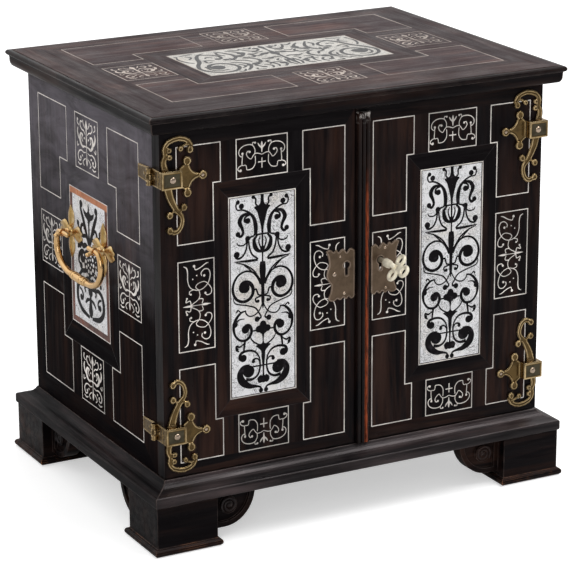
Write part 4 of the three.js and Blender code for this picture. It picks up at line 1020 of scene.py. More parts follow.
@once
def seam_highlight_finish(tree, shader, finishes):
    """Joints of the veneer with a painted highlight, lighter in broken stretches."""
    broken = remap(tree, noise(tree, grain_place(tree), 45.0, 4.0), 0.42, 0.60)
    tone = mixed(tree, broken, finishes.ebony, finishes.seam)
    paint(tree, shader, tone, remap(tree, broken, 0.0, 1.0, 0.3, 0.5))
    add_bump(tree, shader, broken, 0.2, FINE_RELIEF)
    shader.inputs["Specular IOR Level"].default_value = 0.2


@once
def reed_finish(tree, shader, finishes):
    """Black reeds of the astragal; the reed on the right is rubbed to red wood, and the top end is chipped."""
    tone, along, plain = wood_tone(tree, finishes, "Z")
    low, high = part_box("astragal")
    axes = axes_of(tree)
    span = high - low
    start = low.x + 0.60 * span.x
    end = low.x + 0.80 * span.x
    margin = 0.06 * span.x
    past_start = remap(tree, axes["X"], start - margin, start + margin)
    before_end = remap(tree, axes["X"], end + margin, end - margin)
    below = remap(tree, axes["Z"], high.z - 0.16 * span.z, high.z - 0.30 * span.z)
    flaws = noise(tree, grain_place(tree, (500.0, 500.0, 60.0)), 1.0, 6.0, 0.75)
    flakes = remap(tree, flaws, 0.40, 0.56, 0.1, 1.0)
    red = times(tree, times(tree, times(tree, past_start, before_end), below), flakes)
    chips = remap(tree, noise(tree, plain, 260.0, 3.0), 0.46, 0.58)
    chipped = times(tree, remap(tree, axes["Z"], high.z - 0.035 * span.z, high.z), chips)
    rubbed = mixed(tree, red, tone, finishes.worn_reed)
    tone = mixed(tree, chipped, rubbed, toned(finishes.string, 0.5))
    paint(tree, shader, tone, remap(tree, red, 0.0, 1.0, 0.26, 0.5))
    add_bump(tree, shader, noise(tree, along, 5.0, 4.0, 0.7), 0.25, VENEER_RELIEF)
    shader.inputs["Specular IOR Level"].default_value = 0.16


@once
def string_finish(tree, shader, string):
    """Thin ivory lines, dusty in specks and darkened in long stretches."""
    plain = grain_place(tree)
    specks = remap(tree, noise(tree, plain, 60.0, 5.0, 0.7), 0.38, 0.72)
    stretches = remap(tree, noise(tree, plain, 13.0, 3.0, 0.5), 0.46, 0.60, 0.0, 0.8)
    soil = maths(tree, "MAXIMUM", specks, stretches)
    tone = mixed(tree, soil, string, toned(string, 0.42))
    paint(tree, shader, tone, remap(tree, soil, 0.0, 1.0, 0.35, 0.55))
    add_bump(tree, shader, noise(tree, plain, 300.0, 3.0), 0.2, HAIR_RELIEF)


def ivory_string(finishes):
    return string_finish("Ivory string", finishes.string)


@once
def ivory_finish(tree, shader, finishes, ivory):
    """Ivory plate with fine grey engraved hatching and warm stains."""
    plain = grain_place(tree)
    stain = remap(tree, noise(tree, plain, 16.0, 5.0, 0.6), 0.55, 0.80)
    hatched = []
    for scale, seed in ((95.0, 0.0), (150.0, 3.7)):
        inputs = {"Vector": plain, "Location": (seed, seed, seed)}
        shifted = add_node(tree, "ShaderNodeMapping", inputs).outputs["Vector"]
        flow = times(tree, noise(tree, shifted, scale, 2.0, 0.5, 2.2), 7.0)
        cuts = remap(tree, maths(tree, "PINGPONG", flow, 0.5), 0.15, 0.04)
        shaded = remap(tree, noise(tree, shifted, 70.0, 2.0), 0.40, 0.56)
        hatched.append(times(tree, cuts, shaded))
    engraved = times(tree, maths(tree, "MAXIMUM", *hatched), 0.95)
    tone = mixed(tree, stain, ivory, finishes.ivory_stain)
    tone = mixed(tree, engraved, tone, toned(ivory, 0.20))
    paint(tree, shader, tone, remap(tree, stain, 0.0, 1.0, 0.30, 0.5))
    add_bump(tree, shader, engraved, 0.3, FINE_RELIEF)


def engraved_ivory(finishes):
    return ivory_finish("Engraved ivory", finishes, finishes.ivory)


@once
def ink_finish(tree, shader, finishes, shine):
    """Black mastic of the engraved scrolls; shine is how much light its surface gives back."""
    plain = grain_place(tree)
    rub = remap(tree, noise(tree, plain, 180.0, 4.0), 0.55, 0.80)
    tone = mixed(tree, rub, finishes.ink, toned(finishes.ink, 6.0))
    paint(tree, shader, tone, remap(tree, rub, 0.0, 1.0, 0.32, 0.5))
    add_bump(tree, shader, noise(tree, plain, 500.0, 2.0), 0.1, HAIR_RELIEF)
    shader.inputs["Specular IOR Level"].default_value = shine


@once
def band_finish(tree, shader, finishes):
    """Red-brown band round the side plates, mottled like shell and paler along its upper stretch."""
    plain = grain_place(tree)
    mottle = remap(tree, noise(tree, plain, 55.0, 5.0, 0.6, 0.8), 0.38, 0.66)
    low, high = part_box("left_side_panel")
    upper = remap(tree, axes_of(tree)["Z"], high.z - 0.01 * (high.z - low.z), high.z)
    shell = mixed(tree, mottle, finishes.band, toned(finishes.band, 0.25))
    # faded holds the paler tone of the band's upper stretch.
    faded = mixed(tree, mottle, finishes.band_pale, toned(finishes.band_pale, 0.7))
    paint(tree, shader, mixed(tree, upper, shell, faded), remap(tree, mottle, 0.0, 1.0, 0.26, 0.40))
    add_bump(tree, shader, noise(tree, plain, 90.0, 3.0), 0.12, BAND_RELIEF)
    shader.inputs["Specular IOR Level"].default_value = 0.3


@once
def brass_finish(tree, shader, body, rubbed, dull_and_shade, rough_low, rough_high, metallic=1.0, patched=0.75,
                 shine=1.0):
    """Brass: darker in patches, darker still in its recesses as patina and painted shade, and bright along
    ridges and edges as rubbed wear and painted highlight.
    """
    plain = grain_place(tree)
    patches = remap(tree, noise(tree, plain, 110.0, 6.0, 0.68), 0.44, 0.70, 0.0, patched)
    relief = add_node(tree, "ShaderNodeNewGeometry").outputs["Pointiness"]
    worn = remap(tree, noise(tree, plain, 75.0, 4.0, 0.6), 0.36, 0.60, 0.25, 1.0)
    # Convex ridges and edges get a painted highlight, partly rubbed wear; rubbed is its colour, shine its
    # strength, and worn breaks it into spots.
    raised = times(tree, remap(tree, relief, 0.503, 0.54, 0.0, shine), worn)
    # Recesses are painted dark, as patina and painted shade: concave spots, and spots marked when the arms
    # were shaped.
    sunk = times(tree, add_node(tree, "ShaderNodeAttribute", attribute_name="hollow").outputs["Fac"], 0.8)
    hollow = maths(tree, "MAXIMUM", remap(tree, relief, 0.497, 0.455, 0.0, 0.9), sunk)
    tone = mixed(tree, hollow, mixed(tree, patches, body, dull_and_shade), dull_and_shade)
    roughness = remap(tree, patches, 0.0, 0.75, rough_low, rough_high)
    paint(tree, shader, mixed(tree, raised, tone, rubbed), roughness)
    shader.inputs["Metallic"].default_value = metallic
    pits = times(tree, noise(tree, plain, 420.0, 4.0, 0.6), 0.3)
    swells = noise(tree, plain, 130.0, 2.0)
    add_bump(tree, shader, maths(tree, "ADD", pits, swells), 0.22, BRASS_RELIEF)


def aged_brass(finishes):
    return brass_finish("Aged brass", finishes.aged_brass, finishes.rubbed_brass_highlight, finishes.dull_brass_and_shade,
                        0.20, 0.42)


# The strap's sunk middle, painted dark as a reflection.
def strap_dark_reflection(finishes):
    body = finishes.strap_dark_reflection
    return brass_finish("Strap dark reflection", body, finishes.rubbed_brass_highlight, toned(body, 0.5), 0.30, 0.50)


def plate_brass(finishes):
    body = finishes.plate_brass
    return brass_finish("Plate brass", body, finishes.plate_rim_highlight, toned(body, 0.6), 0.42, 0.62)


# Nails are painted all over in the plate rims' highlight colour: a painted highlight on their domes.
def nail_brass(finishes):
    return brass_finish("Nail brass", finishes.plate_rim_highlight, finishes.rubbed_brass_highlight, finishes.dull_brass_and_shade,
                        0.18, 0.34, patched=0.4, shine=0.3)


def leaf_brass(finishes):
    body = finishes.leaf_brass
    return brass_finish("Leaf brass", body, finishes.bright_rim_highlight, toned(body, 0.45), 0.26, 0.40, shine=0.5)


def bright_brass(finishes):
    body = finishes.bright_brass
    return brass_finish("Bright brass", body, finishes.bright_rim_highlight, toned(body, 0.2), 0.24, 0.34,
                        patched=0.12, shine=0.2)


# The key has no separate highlight colour; its recesses are painted darker as patina and painted shade.
def key_brass(finishes):
    body = finishes.key_brass
    return brass_finish("Key brass", body, body, toned(body, 0.6), 0.30, 0.42, 0.2, 0.2)


@once
def iron_finish(tree, shader, finishes):
    """Filed lock iron with spots of rust."""
    marks = noise(tree, grain_place(tree, (30.0, 400.0, 400.0)), 1.0, 5.0, 0.6)
    rusted = remap(tree, noise(tree, grain_place(tree), 120.0, 5.0), 0.55, 0.72)
    tone = mixed(tree, rusted, finishes.iron, finishes.rust)
    paint(tree, shader, tone, remap(tree, marks, 0.3, 0.7, 0.34, 0.6))
    shader.inputs["Metallic"].default_value = 0.9
    add_bump(tree, shader, marks, 0.2, FINE_RELIEF)


def facing_mask(tree, axis, sign):
    """One where the piece's own surface faces the given way."""
    return maths(tree, "GREATER_THAN", times(tree, axes_of(tree, "Normal")[axis], float(sign)), 0.5)


@once
def lined_finish(tree, shader, finishes, axis, sign, painted_sheen=0.0):
    """Ebonised board whose faces that look one way are walnut, such as a door or the inside of the case."""
    black, along, plain = wood_tone(tree, finishes, "Z", 0.8, painted_sheen)
    streaks = remap(tree, noise(tree, along, 1.0, 7.0, 0.62, 0.4), 0.40, 0.72)
    brown = mixed(tree, streaks, finishes.walnut, toned(finishes.walnut, 1.9))
    paint(tree, shader, mixed(tree, facing_mask(tree, axis, sign), black, brown))
    add_polish(tree, shader, finishes, along, plain, 0.085, 0.36, painted_sheen > 0)
    height = maths(tree, "ADD", noise(tree, along, 4.0, 4.0, 0.7), noise(tree, plain, 22.0, 2.0))
    add_bump(tree, shader, height, 0.25, LINING_RELIEF, rounded_edges(tree, LINING_ROUND)[0])


@once
def drawer_finish(tree, shader, finishes):
    """Walnut drawer with an ebonised front."""
    along = grain_place(tree, GRAIN_SCALES["X"])
    streaks = remap(tree, noise(tree, along, 1.0, 7.0, 0.62, 0.4), 0.36, 0.72)
    brown = mixed(tree, streaks, finishes.walnut, toned(finishes.walnut, 2.2))
    black = mixed(tree, times(tree, streaks, 0.7), finishes.ebony, finishes.ebony_streak)
    front = facing_mask(tree, "Y", -1)
    paint(tree, shader, mixed(tree, front, brown, black), remap(tree, front, 0.0, 1.0, 0.55, 0.28))
    normal = rounded_edges(tree, LINING_ROUND)[0]
    add_bump(tree, shader, noise(tree, along, 4.0, 4.0, 0.7), 0.18, DRAWER_RELIEF, normal)


@once
def floor_finish(tree, shader, stage):
    """Pale floor that looks nearly white to the camera and darker in the polish."""
    path = add_node(tree, "ShaderNodeLightPath").outputs
    shaded = toned(stage.floor_colour, stage.floor_shade)
    paint(tree, shader, mixed(tree, path["Is Glossy Ray"], stage.floor_colour, shaded))
    shader.inputs["Roughness"].default_value = 0.9
    shader.inputs["Specular IOR Level"].default_value = 0.1
    glow = times(tree, path["Is Camera Ray"], stage.floor_glow)
    sheen = times(tree, path["Is Glossy Ray"], stage.floor_sheen)
    shader.inputs["Emission Color"].default_value = (1, 1, 1, 1)
    tree.links.new(maths(tree, "ADD", glow, sheen), shader.inputs["Emission Strength"])


# Brasses


def dress(node, material):
    """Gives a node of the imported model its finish."""
    slots = frame["nodes"][node].data.materials
    slots.clear()
    slots.append(material)


def cast_mesh(source, voxel, passes):
    """The given shape with its edges softened, as casting leaves them."""
    copy = bpy.data.objects.new("Cast source", source)
    bpy.context.scene.collection.objects.link(copy)
    remesh = copy.modifiers.new("Cast", "REMESH")
    remesh.mode = "VOXEL"
    remesh.voxel_size = voxel
    soften = copy.modifiers.new("Soften", "SMOOTH")
    soften.factor = 0.5
    soften.iterations = passes
    depsgraph = bpy.context.evaluated_depsgraph_get()
    shaped = bpy.data.meshes.new_from_object(copy.evaluated_get(depsgraph))
    bpy.data.objects.remove(copy)
    return shaped


# Where the ridge of a cast arm runs, as a share of the way in from its rim.
RIDGE_SHARE = 0.38


def swell(shaped, out, reach, depth, groove):
    """Shapes all that faces one way: low at its rims, a ridge inside them, and a groove along its middle."""

    def flattened(place):
        return place - out * place.dot(out)

    walls = [flattened(vertex.co) for vertex in shaped.vertices if abs(vertex.normal.dot(out)) < 0.5]
    tree = KDTree(len(walls))
    for index, place in enumerate(walls):
        tree.insert(place, index)
    tree.balance()
    # Each point's drop is kept as a mark for painted shade in the brass finish.
    hollow = shaped.attributes.get("hollow") or shaped.attributes.new("hollow", "FLOAT", "POINT")
    drops = []
    for vertex in shaped.vertices:
        drop = 0
        if vertex.normal.dot(out) >= 0.5:
            along = min(1.0, tree.find(flattened(vertex.co))[2] / reach)
            if along < RIDGE_SHARE:
                drop = depth * (1 - along / RIDGE_SHARE) ** 2
            else:
                inside = (along - RIDGE_SHARE) / (1 - RIDGE_SHARE)
                drop = groove * inside * inside * (3 - 2 * inside)
        drops.append(drop)
    for vertex, drop, share_down in zip(shaped.vertices, drops, hollow.data):
        vertex.co -= out * drop
        share_down.value = max(share_down.value, drop / depth)
    shaped.update()


def cast_copy(node, material, brass, swells, source=None):
    """A cast version of a node, in its place: its own shape or the given one, with softened edges."""
    shaped = cast_mesh(source or frame["nodes"][node].data.copy(), brass.cast_voxel, brass.soften_passes)
    for out, reach, depth, groove in swells:
        swell(shaped, Vector(out), reach, depth, groove)
    piece = bpy.data.objects.new(f"{node}_cast", shaped)
    bpy.context.scene.collection.objects.link(piece)
    shaped.materials.clear()
    shaped.materials.append(material)
    for polygon in shaped.polygons:
        polygon.use_smooth = True
    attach(piece, body_of_node(node))
    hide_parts(node)


def body_of_node(node):
    for body, members in frame["record"]["behaviour"]["bodies"].items():
        if node in members:
            return body
    raise ValueError(f"no body holds {node}")


def add_oval(mesh, centre, first, second, sides):
    """Corners of a circle or an oval from its middle and its two half widths."""
    turns = [2 * math.pi * k / sides for k in range(sides)]
    return [mesh.verts.new(centre + first * math.cos(t) + second * math.sin(t)) for t in turns]


def bridge(mesh, rings, looped=False):
    """Joins rings of corners in a row; the ends are closed, unless the row runs round in a loop."""
    following = rings[1:] + rings[:1] if looped else rings[1:]
    for ring, after in zip(rings, following):
        for k in range(len(ring)):
            beside = (k + 1) % len(ring)
            mesh.faces.new([ring[k], ring[beside], after[beside], after[k]])
    if not looped:
        mesh.faces.new(list(reversed(rings[0])))
        mesh.faces.new(rings[-1])


def add_tube(mesh, points, radii, sides, up=Vector((1, 0, 0))):
    """A round tube through points, with a radius at each, closed at both ends; up is never along it."""
    rings = []
    for index, (point, radius) in enumerate(zip(points, radii)):
        ahead = points[min(index + 1, len(points) - 1)]
        behind = points[max(index - 1, 0)]
        along = (ahead - behind).normalized()
        first = up.cross(along).normalized()
        rings.append(add_oval(mesh, point, first * radius, along.cross(first) * radius, sides))
    bridge(mesh, rings)


# Turned grip of a bail: places along the half grip and radii, as shares of its half length and its radius.
GRIP_SHARES = [(0, 1), (0.24, 1), (0.29, 0.90), (0.315, 0.58), (0.36, 0.58), (0.39, 0.92), (0.46, 1),
               (0.55, 1), (0.59, 0.90), (0.615, 0.56), (0.66, 0.56), (0.69, 0.82), (0.75, 0.90),
               (0.80, 0.84), (0.83, 0.62), (0.87, 0.62), (0.92, 0.72), (1, 0.70)]

# How far down the bail's drop the turned grip begins.
GRIP_START_SHARE = 0.88

# Bail's arm from the post to the grip, as shares of its half width and its drop.
BAIL_ARM_SHARES = [(0.46, 0), (0.66, 0), (0.78, 0), (0.88, -0.04), (0.96, -0.2), (0.985, -0.42), (0.93, -0.64),
                   (0.80, -0.84), (0.60, -0.955), (0.37, -1)]


def bail_points(side, steps):
    """Points of the hanging bail from one end to the other, its drop, and the height of its pivot."""
    brass = bpy.context.scene.casket_brass
    low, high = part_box(f"{side}_handle_bail")
    middle = (low + high) / 2
    half_width = (high.y - low.y) / 2 - brass.arm_radius
    pivot = high.z - brass.bail_radius
    drop = pivot - low.z - brass.grip_radius
    arm = [(middle.y + across * half_width, pivot + up * drop) for across, up in BAIL_ARM_SHARES]
    other = [(2 * middle.y - y, z) for y, z in arm]
    row = smooth_line(arm + list(reversed(other)), steps)
    return [Vector((middle.x, y, z)) for y, z in row], drop, pivot


def read_off(profile, along, beyond):
    """The value of a profile of (place, value) at a place, or the given one beyond its end."""
    for (start, low), (end, high) in zip(profile, profile[1:]):
        if along <= end:
            return low + (high - low) * max(0.0, (along - start) / (end - start))
    return beyond


def dense(points, spacing):
    """The same path with evenly spaced points."""
    out = []
    for start, end in zip(points, points[1:]):
        count = max(1, round((end - start).length / spacing))
        out.extend(start.lerp(end, k / count) for k in range(count))
    out.append(points[-1])
    return out


def make_bail(side, material, brass):
    """The hanging bail with its turned grip; the grip's necks are marked for painted shade and dirt."""
    points, drop, pivot = bail_points(side, 8)
    points = dense(points, brass.bail_spacing)
    middle_y = (points[0].y + points[-1].y) / 2
    radii = []
    hollows = []
    for point in points:
        below = (pivot - point.z) / drop
        if below > GRIP_START_SHARE:
            along = abs(point.y - middle_y) / brass.grip_half
            beyond = brass.arm_radius / brass.grip_radius
            radii.append(read_off(GRIP_SHARES, along, beyond) * brass.grip_radius)
            # Necks thinner than the arm are marked for painted shade and dirt.
            hollows.append(min(1.0, 4 * max(0.0, 1 - radii[-1] / brass.arm_radius)))
        else:
            swelling = (brass.arm_radius - brass.bail_radius) * min(1.0, max(0.0, 3 * below))
            radii.append(brass.bail_radius + swelling)
            hollows.append(0.0)
    mesh = bmesh.new()
    sides = 20
    add_tube(mesh, points, radii, sides)
    piece = new_piece(f"{side}_bail_turned", mesh, f"{side}_bail", material, smooth=True)
    hollow = piece.data.attributes.new("hollow", "FLOAT", "POINT")
    for index, spot in enumerate(hollow.data):
        spot.value = hollows[index // sides]
    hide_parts(f"{side}_handle_bail")


# Half outlines of the rosette leaves, as shares of their length and half width: a pointed oval and a fan.
OVAL_LEAF_SHARES = [(0.05, 0.24), (0.18, 0.52), (0.34, 0.86), (0.50, 1.0), (0.64, 0.94), (0.78, 0.68),
                    (0.90, 0.34), (1.0, 0.03)]
FAN_LEAF_SHARES = [(0.05, 0.26), (0.22, 0.42), (0.40, 0.72), (0.58, 0.96), (0.72, 1.0), (0.86, 0.90),
                   (1.0, 0.62)]


def add_leaf(mesh, foot, outward, direction, span, half_width, rise, outline, rows=22, columns=12):
    """A swelling leaf with a raised rib, closed underneath; a fan leaf ends in two lobes."""
    sideways = outward.cross(direction)
    fan = outline is FAN_LEAF_SHARES
    top = []
    low = []
    for row in range(rows + 1):
        along = 0.05 + 0.95 * row / rows
        half = read_off(outline, along, outline[-1][1]) * half_width
        top_row = []
        low_row = []
        for column in range(columns + 1):
            across = 2 * column / columns - 1
            reach = 1 - 0.16 * along * (1 - math.sin(math.pi * abs(across)) ** 0.7) if fan else 1
            dome = (1 - across * across) ** 0.5 * math.sin(math.pi * min(1.0, 0.12 + 0.80 * along)) ** 0.6
            rib = 0.26 * math.exp(-(across * 6.0) ** 2) * (1 - along)
            groove = 0.30 * math.exp(-(across * 4.0) ** 2) * along if fan else 0
            lift = rise * (0.16 + 0.74 * dome + rib - groove * dome)
            place = foot + direction * (span * along * reach) + sideways * (half * across)
            top_row.append(mesh.verts.new(place + outward * lift))
            low_row.append(mesh.verts.new(place + outward * (0.04 * rise)))
        top.append(top_row)
        low.append(low_row)
    for row in range(rows):
        for column in range(columns):
            for sheet, flip in ((top, False), (low, True)):
                patch = [sheet[row][column], sheet[row][column + 1]]
                patch += [sheet[row + 1][column + 1], sheet[row + 1][column]]
                mesh.faces.new(patch[::-1] if flip else patch)
        for column, flip in ((0, True), (columns, False)):
            wall = [top[row][column], top[row + 1][column], low[row + 1][column], low[row][column]]
            mesh.faces.new(wall if flip else wall[::-1])
    for row, flip in ((0, False), (rows, True)):
        for column in range(columns):
            wall = [top[row][column], top[row][column + 1], low[row][column + 1], low[row][column]]
            mesh.faces.new(wall[::-1] if flip else wall)


def add_turned(mesh, foot, outward, profile, sides=24):
    """A turned shape from rows of (reach, radius) along a direction."""
    helper = Vector((0, 0, 1)) if abs(outward.z) < 0.5 else Vector((1, 0, 0))
    first = helper.cross(outward).normalized()
    second = outward.cross(first)
    rings = []
    for reach, radius in profile:
        rings.append(add_oval(mesh, foot + outward * reach, first * radius, second * radius, sides))
    bridge(mesh, rings)


def add_ring(mesh, centre, axis, radius, wire, width, sides=28, around=12):
    """A rounded ring about an axis; wire is its wall's thickness and width its length along the axis."""
    helper = Vector((0, 0, 1)) if abs(axis.z) < 0.9 else Vector((1, 0, 0))
    first = helper.cross(axis).normalized()
    second = axis.cross(first)
    rings = []
    for k in range(sides):
        turn = 2 * math.pi * k / sides
        out = first * math.cos(turn) + second * math.sin(turn)
        rings.append(add_oval(mesh, centre + out * radius, out * (wire / 2), axis * (width / 2), around))
    bridge(mesh, rings, looped=True)


# Turned profiles, as shares of a reach and a radius.
BOSS_SHARES = [(0.02, 1), (0.40, 1), (0.66, 0.92), (0.86, 0.72), (1, 0.46)]
STUB_SHARES = [(0, 0.86), (0.12, 1.06), (0.24, 1.0), (0.55, 0.92), (0.86, 0.86), (0.95, 0.70), (1, 0.20)]
NAIL_SHARES = [(0, 1), (0.35, 0.96), (0.70, 0.70), (0.92, 0.38), (1, 0.06)]


def make_rosette(side, place, material, pin_material, brass):
    """Leaf rosette with its boss, and the drooping pin whose eye holds the bail."""
    node = f"{side}_handle_{place}_mount"
    low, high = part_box(node)
    outward = Vector((-1, 0, 0)) if side == "left" else Vector((1, 0, 0))
    middle = (low + high) / 2
    foot = Vector((high.x if side == "left" else low.x, middle.y, middle.z))
    reach = high.x - low.x
    bail_low, bail_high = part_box(f"{side}_handle_bail")
    pivot_reach = abs((bail_low.x + bail_high.x) / 2 - foot.x)
    long_leaf = (high.z - low.z) / 2
    short_leaf = (high.y - low.y) / 2
    mesh = bmesh.new()
    rise = brass.leaf_rise
    for way in (1, -1):
        upright, level = Vector((0, 0, way)), Vector((0, way, 0))
        add_leaf(mesh, foot, outward, upright, long_leaf, brass.long_half_width, rise, OVAL_LEAF_SHARES)
        add_leaf(mesh, foot, outward, level, short_leaf, brass.fan_half_width, rise, FAN_LEAF_SHARES)
    boss = [(along * brass.boss_rise, radius * brass.boss_radius) for along, radius in BOSS_SHARES]
    add_turned(mesh, foot, outward, boss)
    bmesh.ops.recalc_face_normals(mesh, faces=mesh.faces)
    piece = new_piece(f"{side}_{place}_rosette", mesh, "case", material, smooth=True)
    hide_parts(node)
    pin = bmesh.new()
    pivot = foot + outward * pivot_reach
    along = outward * math.cos(brass.pin_droop) - Vector((0, 0, math.sin(brass.pin_droop)))
    behind = pivot_reach / math.cos(brass.pin_droop)
    ahead = (reach - pivot_reach) / math.cos(brass.pin_droop)
    stub_start = brass.eye_radius - brass.eye_wire / 2
    add_turned(pin, pivot, along, [(-behind, brass.post_radius), (-stub_start, brass.post_radius)])
    stub = [(stub_start + part * (ahead - stub_start), radius * brass.stub_radius)
            for part, radius in STUB_SHARES]
    add_turned(pin, pivot, along, stub, sides=20)
    add_ring(pin, pivot, Vector((0, 1, 0)), brass.eye_radius, brass.eye_wire, brass.eye_width)
    bmesh.ops.recalc_face_normals(pin, faces=pin.faces)
    new_piece(f"{side}_{place}_pin", pin, "case", pin_material, smooth=True)


def add_nail(mesh, foot, outward, radius):
    """A domed nail head, half as high as its radius."""
    add_turned(mesh, foot, outward, [(along * radius / 2, share * radius) for along, share in NAIL_SHARES])


def add_rim(mesh, face, half_across, half_up, width, rise):
    """A raised rim with two slopes along the edges of a rectangle."""
    levels = [(0, 0), (0.35 * width, rise), (0.60 * width, rise), (width, 0)]
    loops = []
    for inset, lift in levels:
        places = rectangle(inset - half_across, half_across - inset, inset - half_up, half_up - inset)
        loops.append([mesh.verts.new(face.point(across, up, lift)) for across, up in places])
    for outer, inner in zip(loops, loops[1:]):
        for k in range(4):
            following = (k + 1) % 4
            mesh.faces.new([outer[k], outer[following], inner[following], inner[k]])


def dress_strap(side, row, brass, finishes):
    """Rim, sunk middle painted dark as a reflection, and nails of one hinge's strap."""
    node = f"{side}_{row}_hinge_door_leaf"
    low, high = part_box(node)
    case_low, case_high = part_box(f"{side}_{row}_hinge_case_leaf")
    sign = 1 if side == "left" else -1
    board_low, board_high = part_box(f"{side}_side_board")
    case_x = board_low.x if side == "left" else board_high.x
    inner_x = high.x if side == "left" else low.x
    level = (case_low.z + case_high.z) / 2
    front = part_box(f"{side}_door")[0].y
    half_across = (brass.head_width + brass.strap_thickness) / 2
    middle = Vector((case_x + sign * (brass.head_width - half_across), front - brass.head_rise, level))
    face = Face(middle, (1, 0, 0), (0, 0, 1), (0, -1, 0))
    half_up = brass.head_height / 2
    rim = bmesh.new()
    add_rim(rim, face, half_across, half_up, brass.rim_width, brass.rim_rise)
    nails = bmesh.new()
    nail = Vector((case_x + sign * brass.head_width / 2, front - brass.head_rise, level))
    add_nail(nails, nail, face.out, brass.head_nail_radius)
    tip = Vector((inner_x - sign * brass.tip_radius, front - brass.strap_thickness, level))
    add_nail(nails, tip, face.out, brass.tip_nail_radius)
    new_piece(f"{node}_nails", nails, f"{side}_door", nail_brass(finishes), smooth=True)
    new_piece(f"{node}_rim", rim, f"{side}_door", aged_brass(finishes), smooth=True)
    # The sunk middle is painted dark: a painted dark reflection.
    patch = bmesh.new()
    inner_across = half_across - brass.rim_width
    inner_up = half_up - brass.rim_width
    add_flat(patch, face, rectangle(-inner_across, inner_across, -inner_up, inner_up), 0.1 * brass.rim_rise)
    new_piece(f"{node}_sunk", patch, f"{side}_door", strap_dark_reflection(finishes))


# Outline of a lock plate: across from the doors' meeting edge as a share of its width, up from its middle as
# a share of its half height, and how far the stretch to the next corner bulges, as a share of that stretch.
PLATE_OUTLINE_SHARES = [(0, 0.86, 0.36), (0.279, 0.80, 0.42), (0.557, 0.85, 0.48), (0.721, 0.88, 0.26),
                        (0.99, 0.94, -0.09), (0.89, 0.36, 0.20), (0.81, -0.33, -0.08), (0.90, -0.80, 0.08),
                        (0.88, -0.92, 0.20), (0.60, -0.887, 0.34), (0.397, -0.856, 0.44), (0.209, -0.85, 0.44),
                        (0, -0.86, 0)]


def bulging_line(corners, steps):
    """Points of a closed line through corners (across, up, bulge), each stretch bulging to its left."""
    line = []
    for start, end in zip(corners, corners[1:] + corners[:1]):
        stretch = Vector(end[:2]) - Vector(start[:2])
        outward = Vector((-stretch.y, stretch.x)) * start[2]
        for step in range(steps):
            part = step / steps
            line.append(Vector(start[:2]) + stretch * part + outward * math.sin(math.pi * part))
    return line


def plate_solid(side, brass):
    """A lock plate with a lobed outline and a keyhole."""
    low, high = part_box(f"{side}_lock_plate")
    start, way = (high.x, -1) if side == "left" else (low.x, 1)
    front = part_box(f"{side}_door")[0].y
    key_low, key_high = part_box("key")
    hole_x = -brass.dummy_keyhole if side == "left" else (key_low.x + key_high.x) / 2
    hole_z = (key_low.z + key_high.z) / 2
    half = (high.z - low.z) / 2
    corners = [(across * (high.x - low.x), up * half, bulge) for across, up, bulge in PLATE_OUTLINE_SHARES]
    outline = [(start + way * place.x, (low.z + high.z) / 2 + place.y) for place in bulging_line(corners, 8)]
    opening = math.asin(brass.keyhole_slot / 2 / brass.keyhole_radius)
    hole = []
    round_steps = 24
    for step in range(round_steps + 1):
        turn = opening + (2 * math.pi - 2 * opening) * step / round_steps
        across, down = brass.keyhole_radius * math.sin(turn), brass.keyhole_radius * math.cos(turn)
        hole.append((hole_x - across, hole_z - down))
    hole.append((hole_x + brass.keyhole_slot / 2, hole_z - brass.keyhole_drop))
    hole.append((hole_x - brass.keyhole_slot / 2, hole_z - brass.keyhole_drop))
    mesh = bmesh.new()
    edges = []
    for loop in (outline, hole):
        corners = [mesh.verts.new((x, front, z)) for x, z in loop]
        edges += [mesh.edges.new((corners[k - 1], corners[k])) for k in range(len(corners))]
    filled = bmesh.ops.triangle_fill(mesh, edges=edges, use_beauty=True)
    faces = [part for part in filled["geom"] if isinstance(part, bmesh.types.BMFace)]
    pushed = bmesh.ops.extrude_face_region(mesh, geom=faces, use_keep_orig=True)
    moved = [part for part in pushed["geom"] if isinstance(part, bmesh.types.BMVert)]
    bmesh.ops.translate(mesh, verts=moved, vec=(0, -brass.plate_thickness, 0))
    bmesh.ops.recalc_face_normals(mesh, faces=mesh.faces)
    solid = bpy.data.meshes.new(f"{side}_plate")
    mesh.to_mesh(solid)
    mesh.free()
    return solid


# Nails of the lock plates: across from the doors' meeting edge, up from the middle, and the radius as a share
# of the tip nail's.
PLATE_NAIL_SHARES = {
    "left": [(0.5, 0.34, 0.55), (0.7, 0.02, 1.05), (0.36, -0.36, 0.75)],
    "right": [(0.48, 0.38, 0.7), (0.52, -0.38, 0.7)],
}


def dress_plate(side, brass, finishes):
    """Domed nails of a lock plate."""
    low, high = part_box(f"{side}_lock_plate")
    start, way = (high.x, -1) if side == "left" else (low.x, 1)
    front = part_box(f"{side}_door")[0].y
    nails = bmesh.new()
    face_y = front - brass.plate_thickness + brass.plate_groove
    for across, up, radius in PLATE_NAIL_SHARES[side]:
        x = start + way * across * (high.x - low.x)
        z = (low.z + high.z) / 2 + up * (high.z - low.z)
        add_nail(nails, Vector((x, face_y, z)), Vector((0, -1, 0)), radius * brass.tip_nail_radius)
    body = body_of_node(f"{side}_lock_plate")
    new_piece(f"{side}_plate_nails", nails, body, nail_brass(finishes), smooth=True)


def add_curl(mesh, centre, across, up, out, brass):
    """Raised spiral on a foot bracket, with a small dome in its middle."""
    count = 44
    points = []
    radii = []
    for k in range(count + 1):
        part = k / count
        turn = 2 * math.pi * (0.62 - 1.75 * part)
        radius = brass.curl_radius * (1 - 0.72 * part)
        points.append(centre + across * (radius * math.cos(turn)) + up * (radius * math.sin(turn)))
        radii.append(brass.curl_ridge * (1 - 0.35 * part))
    add_tube(mesh, points, radii, 10, out)
    add_nail(mesh, centre, out, 0.24 * brass.curl_radius)


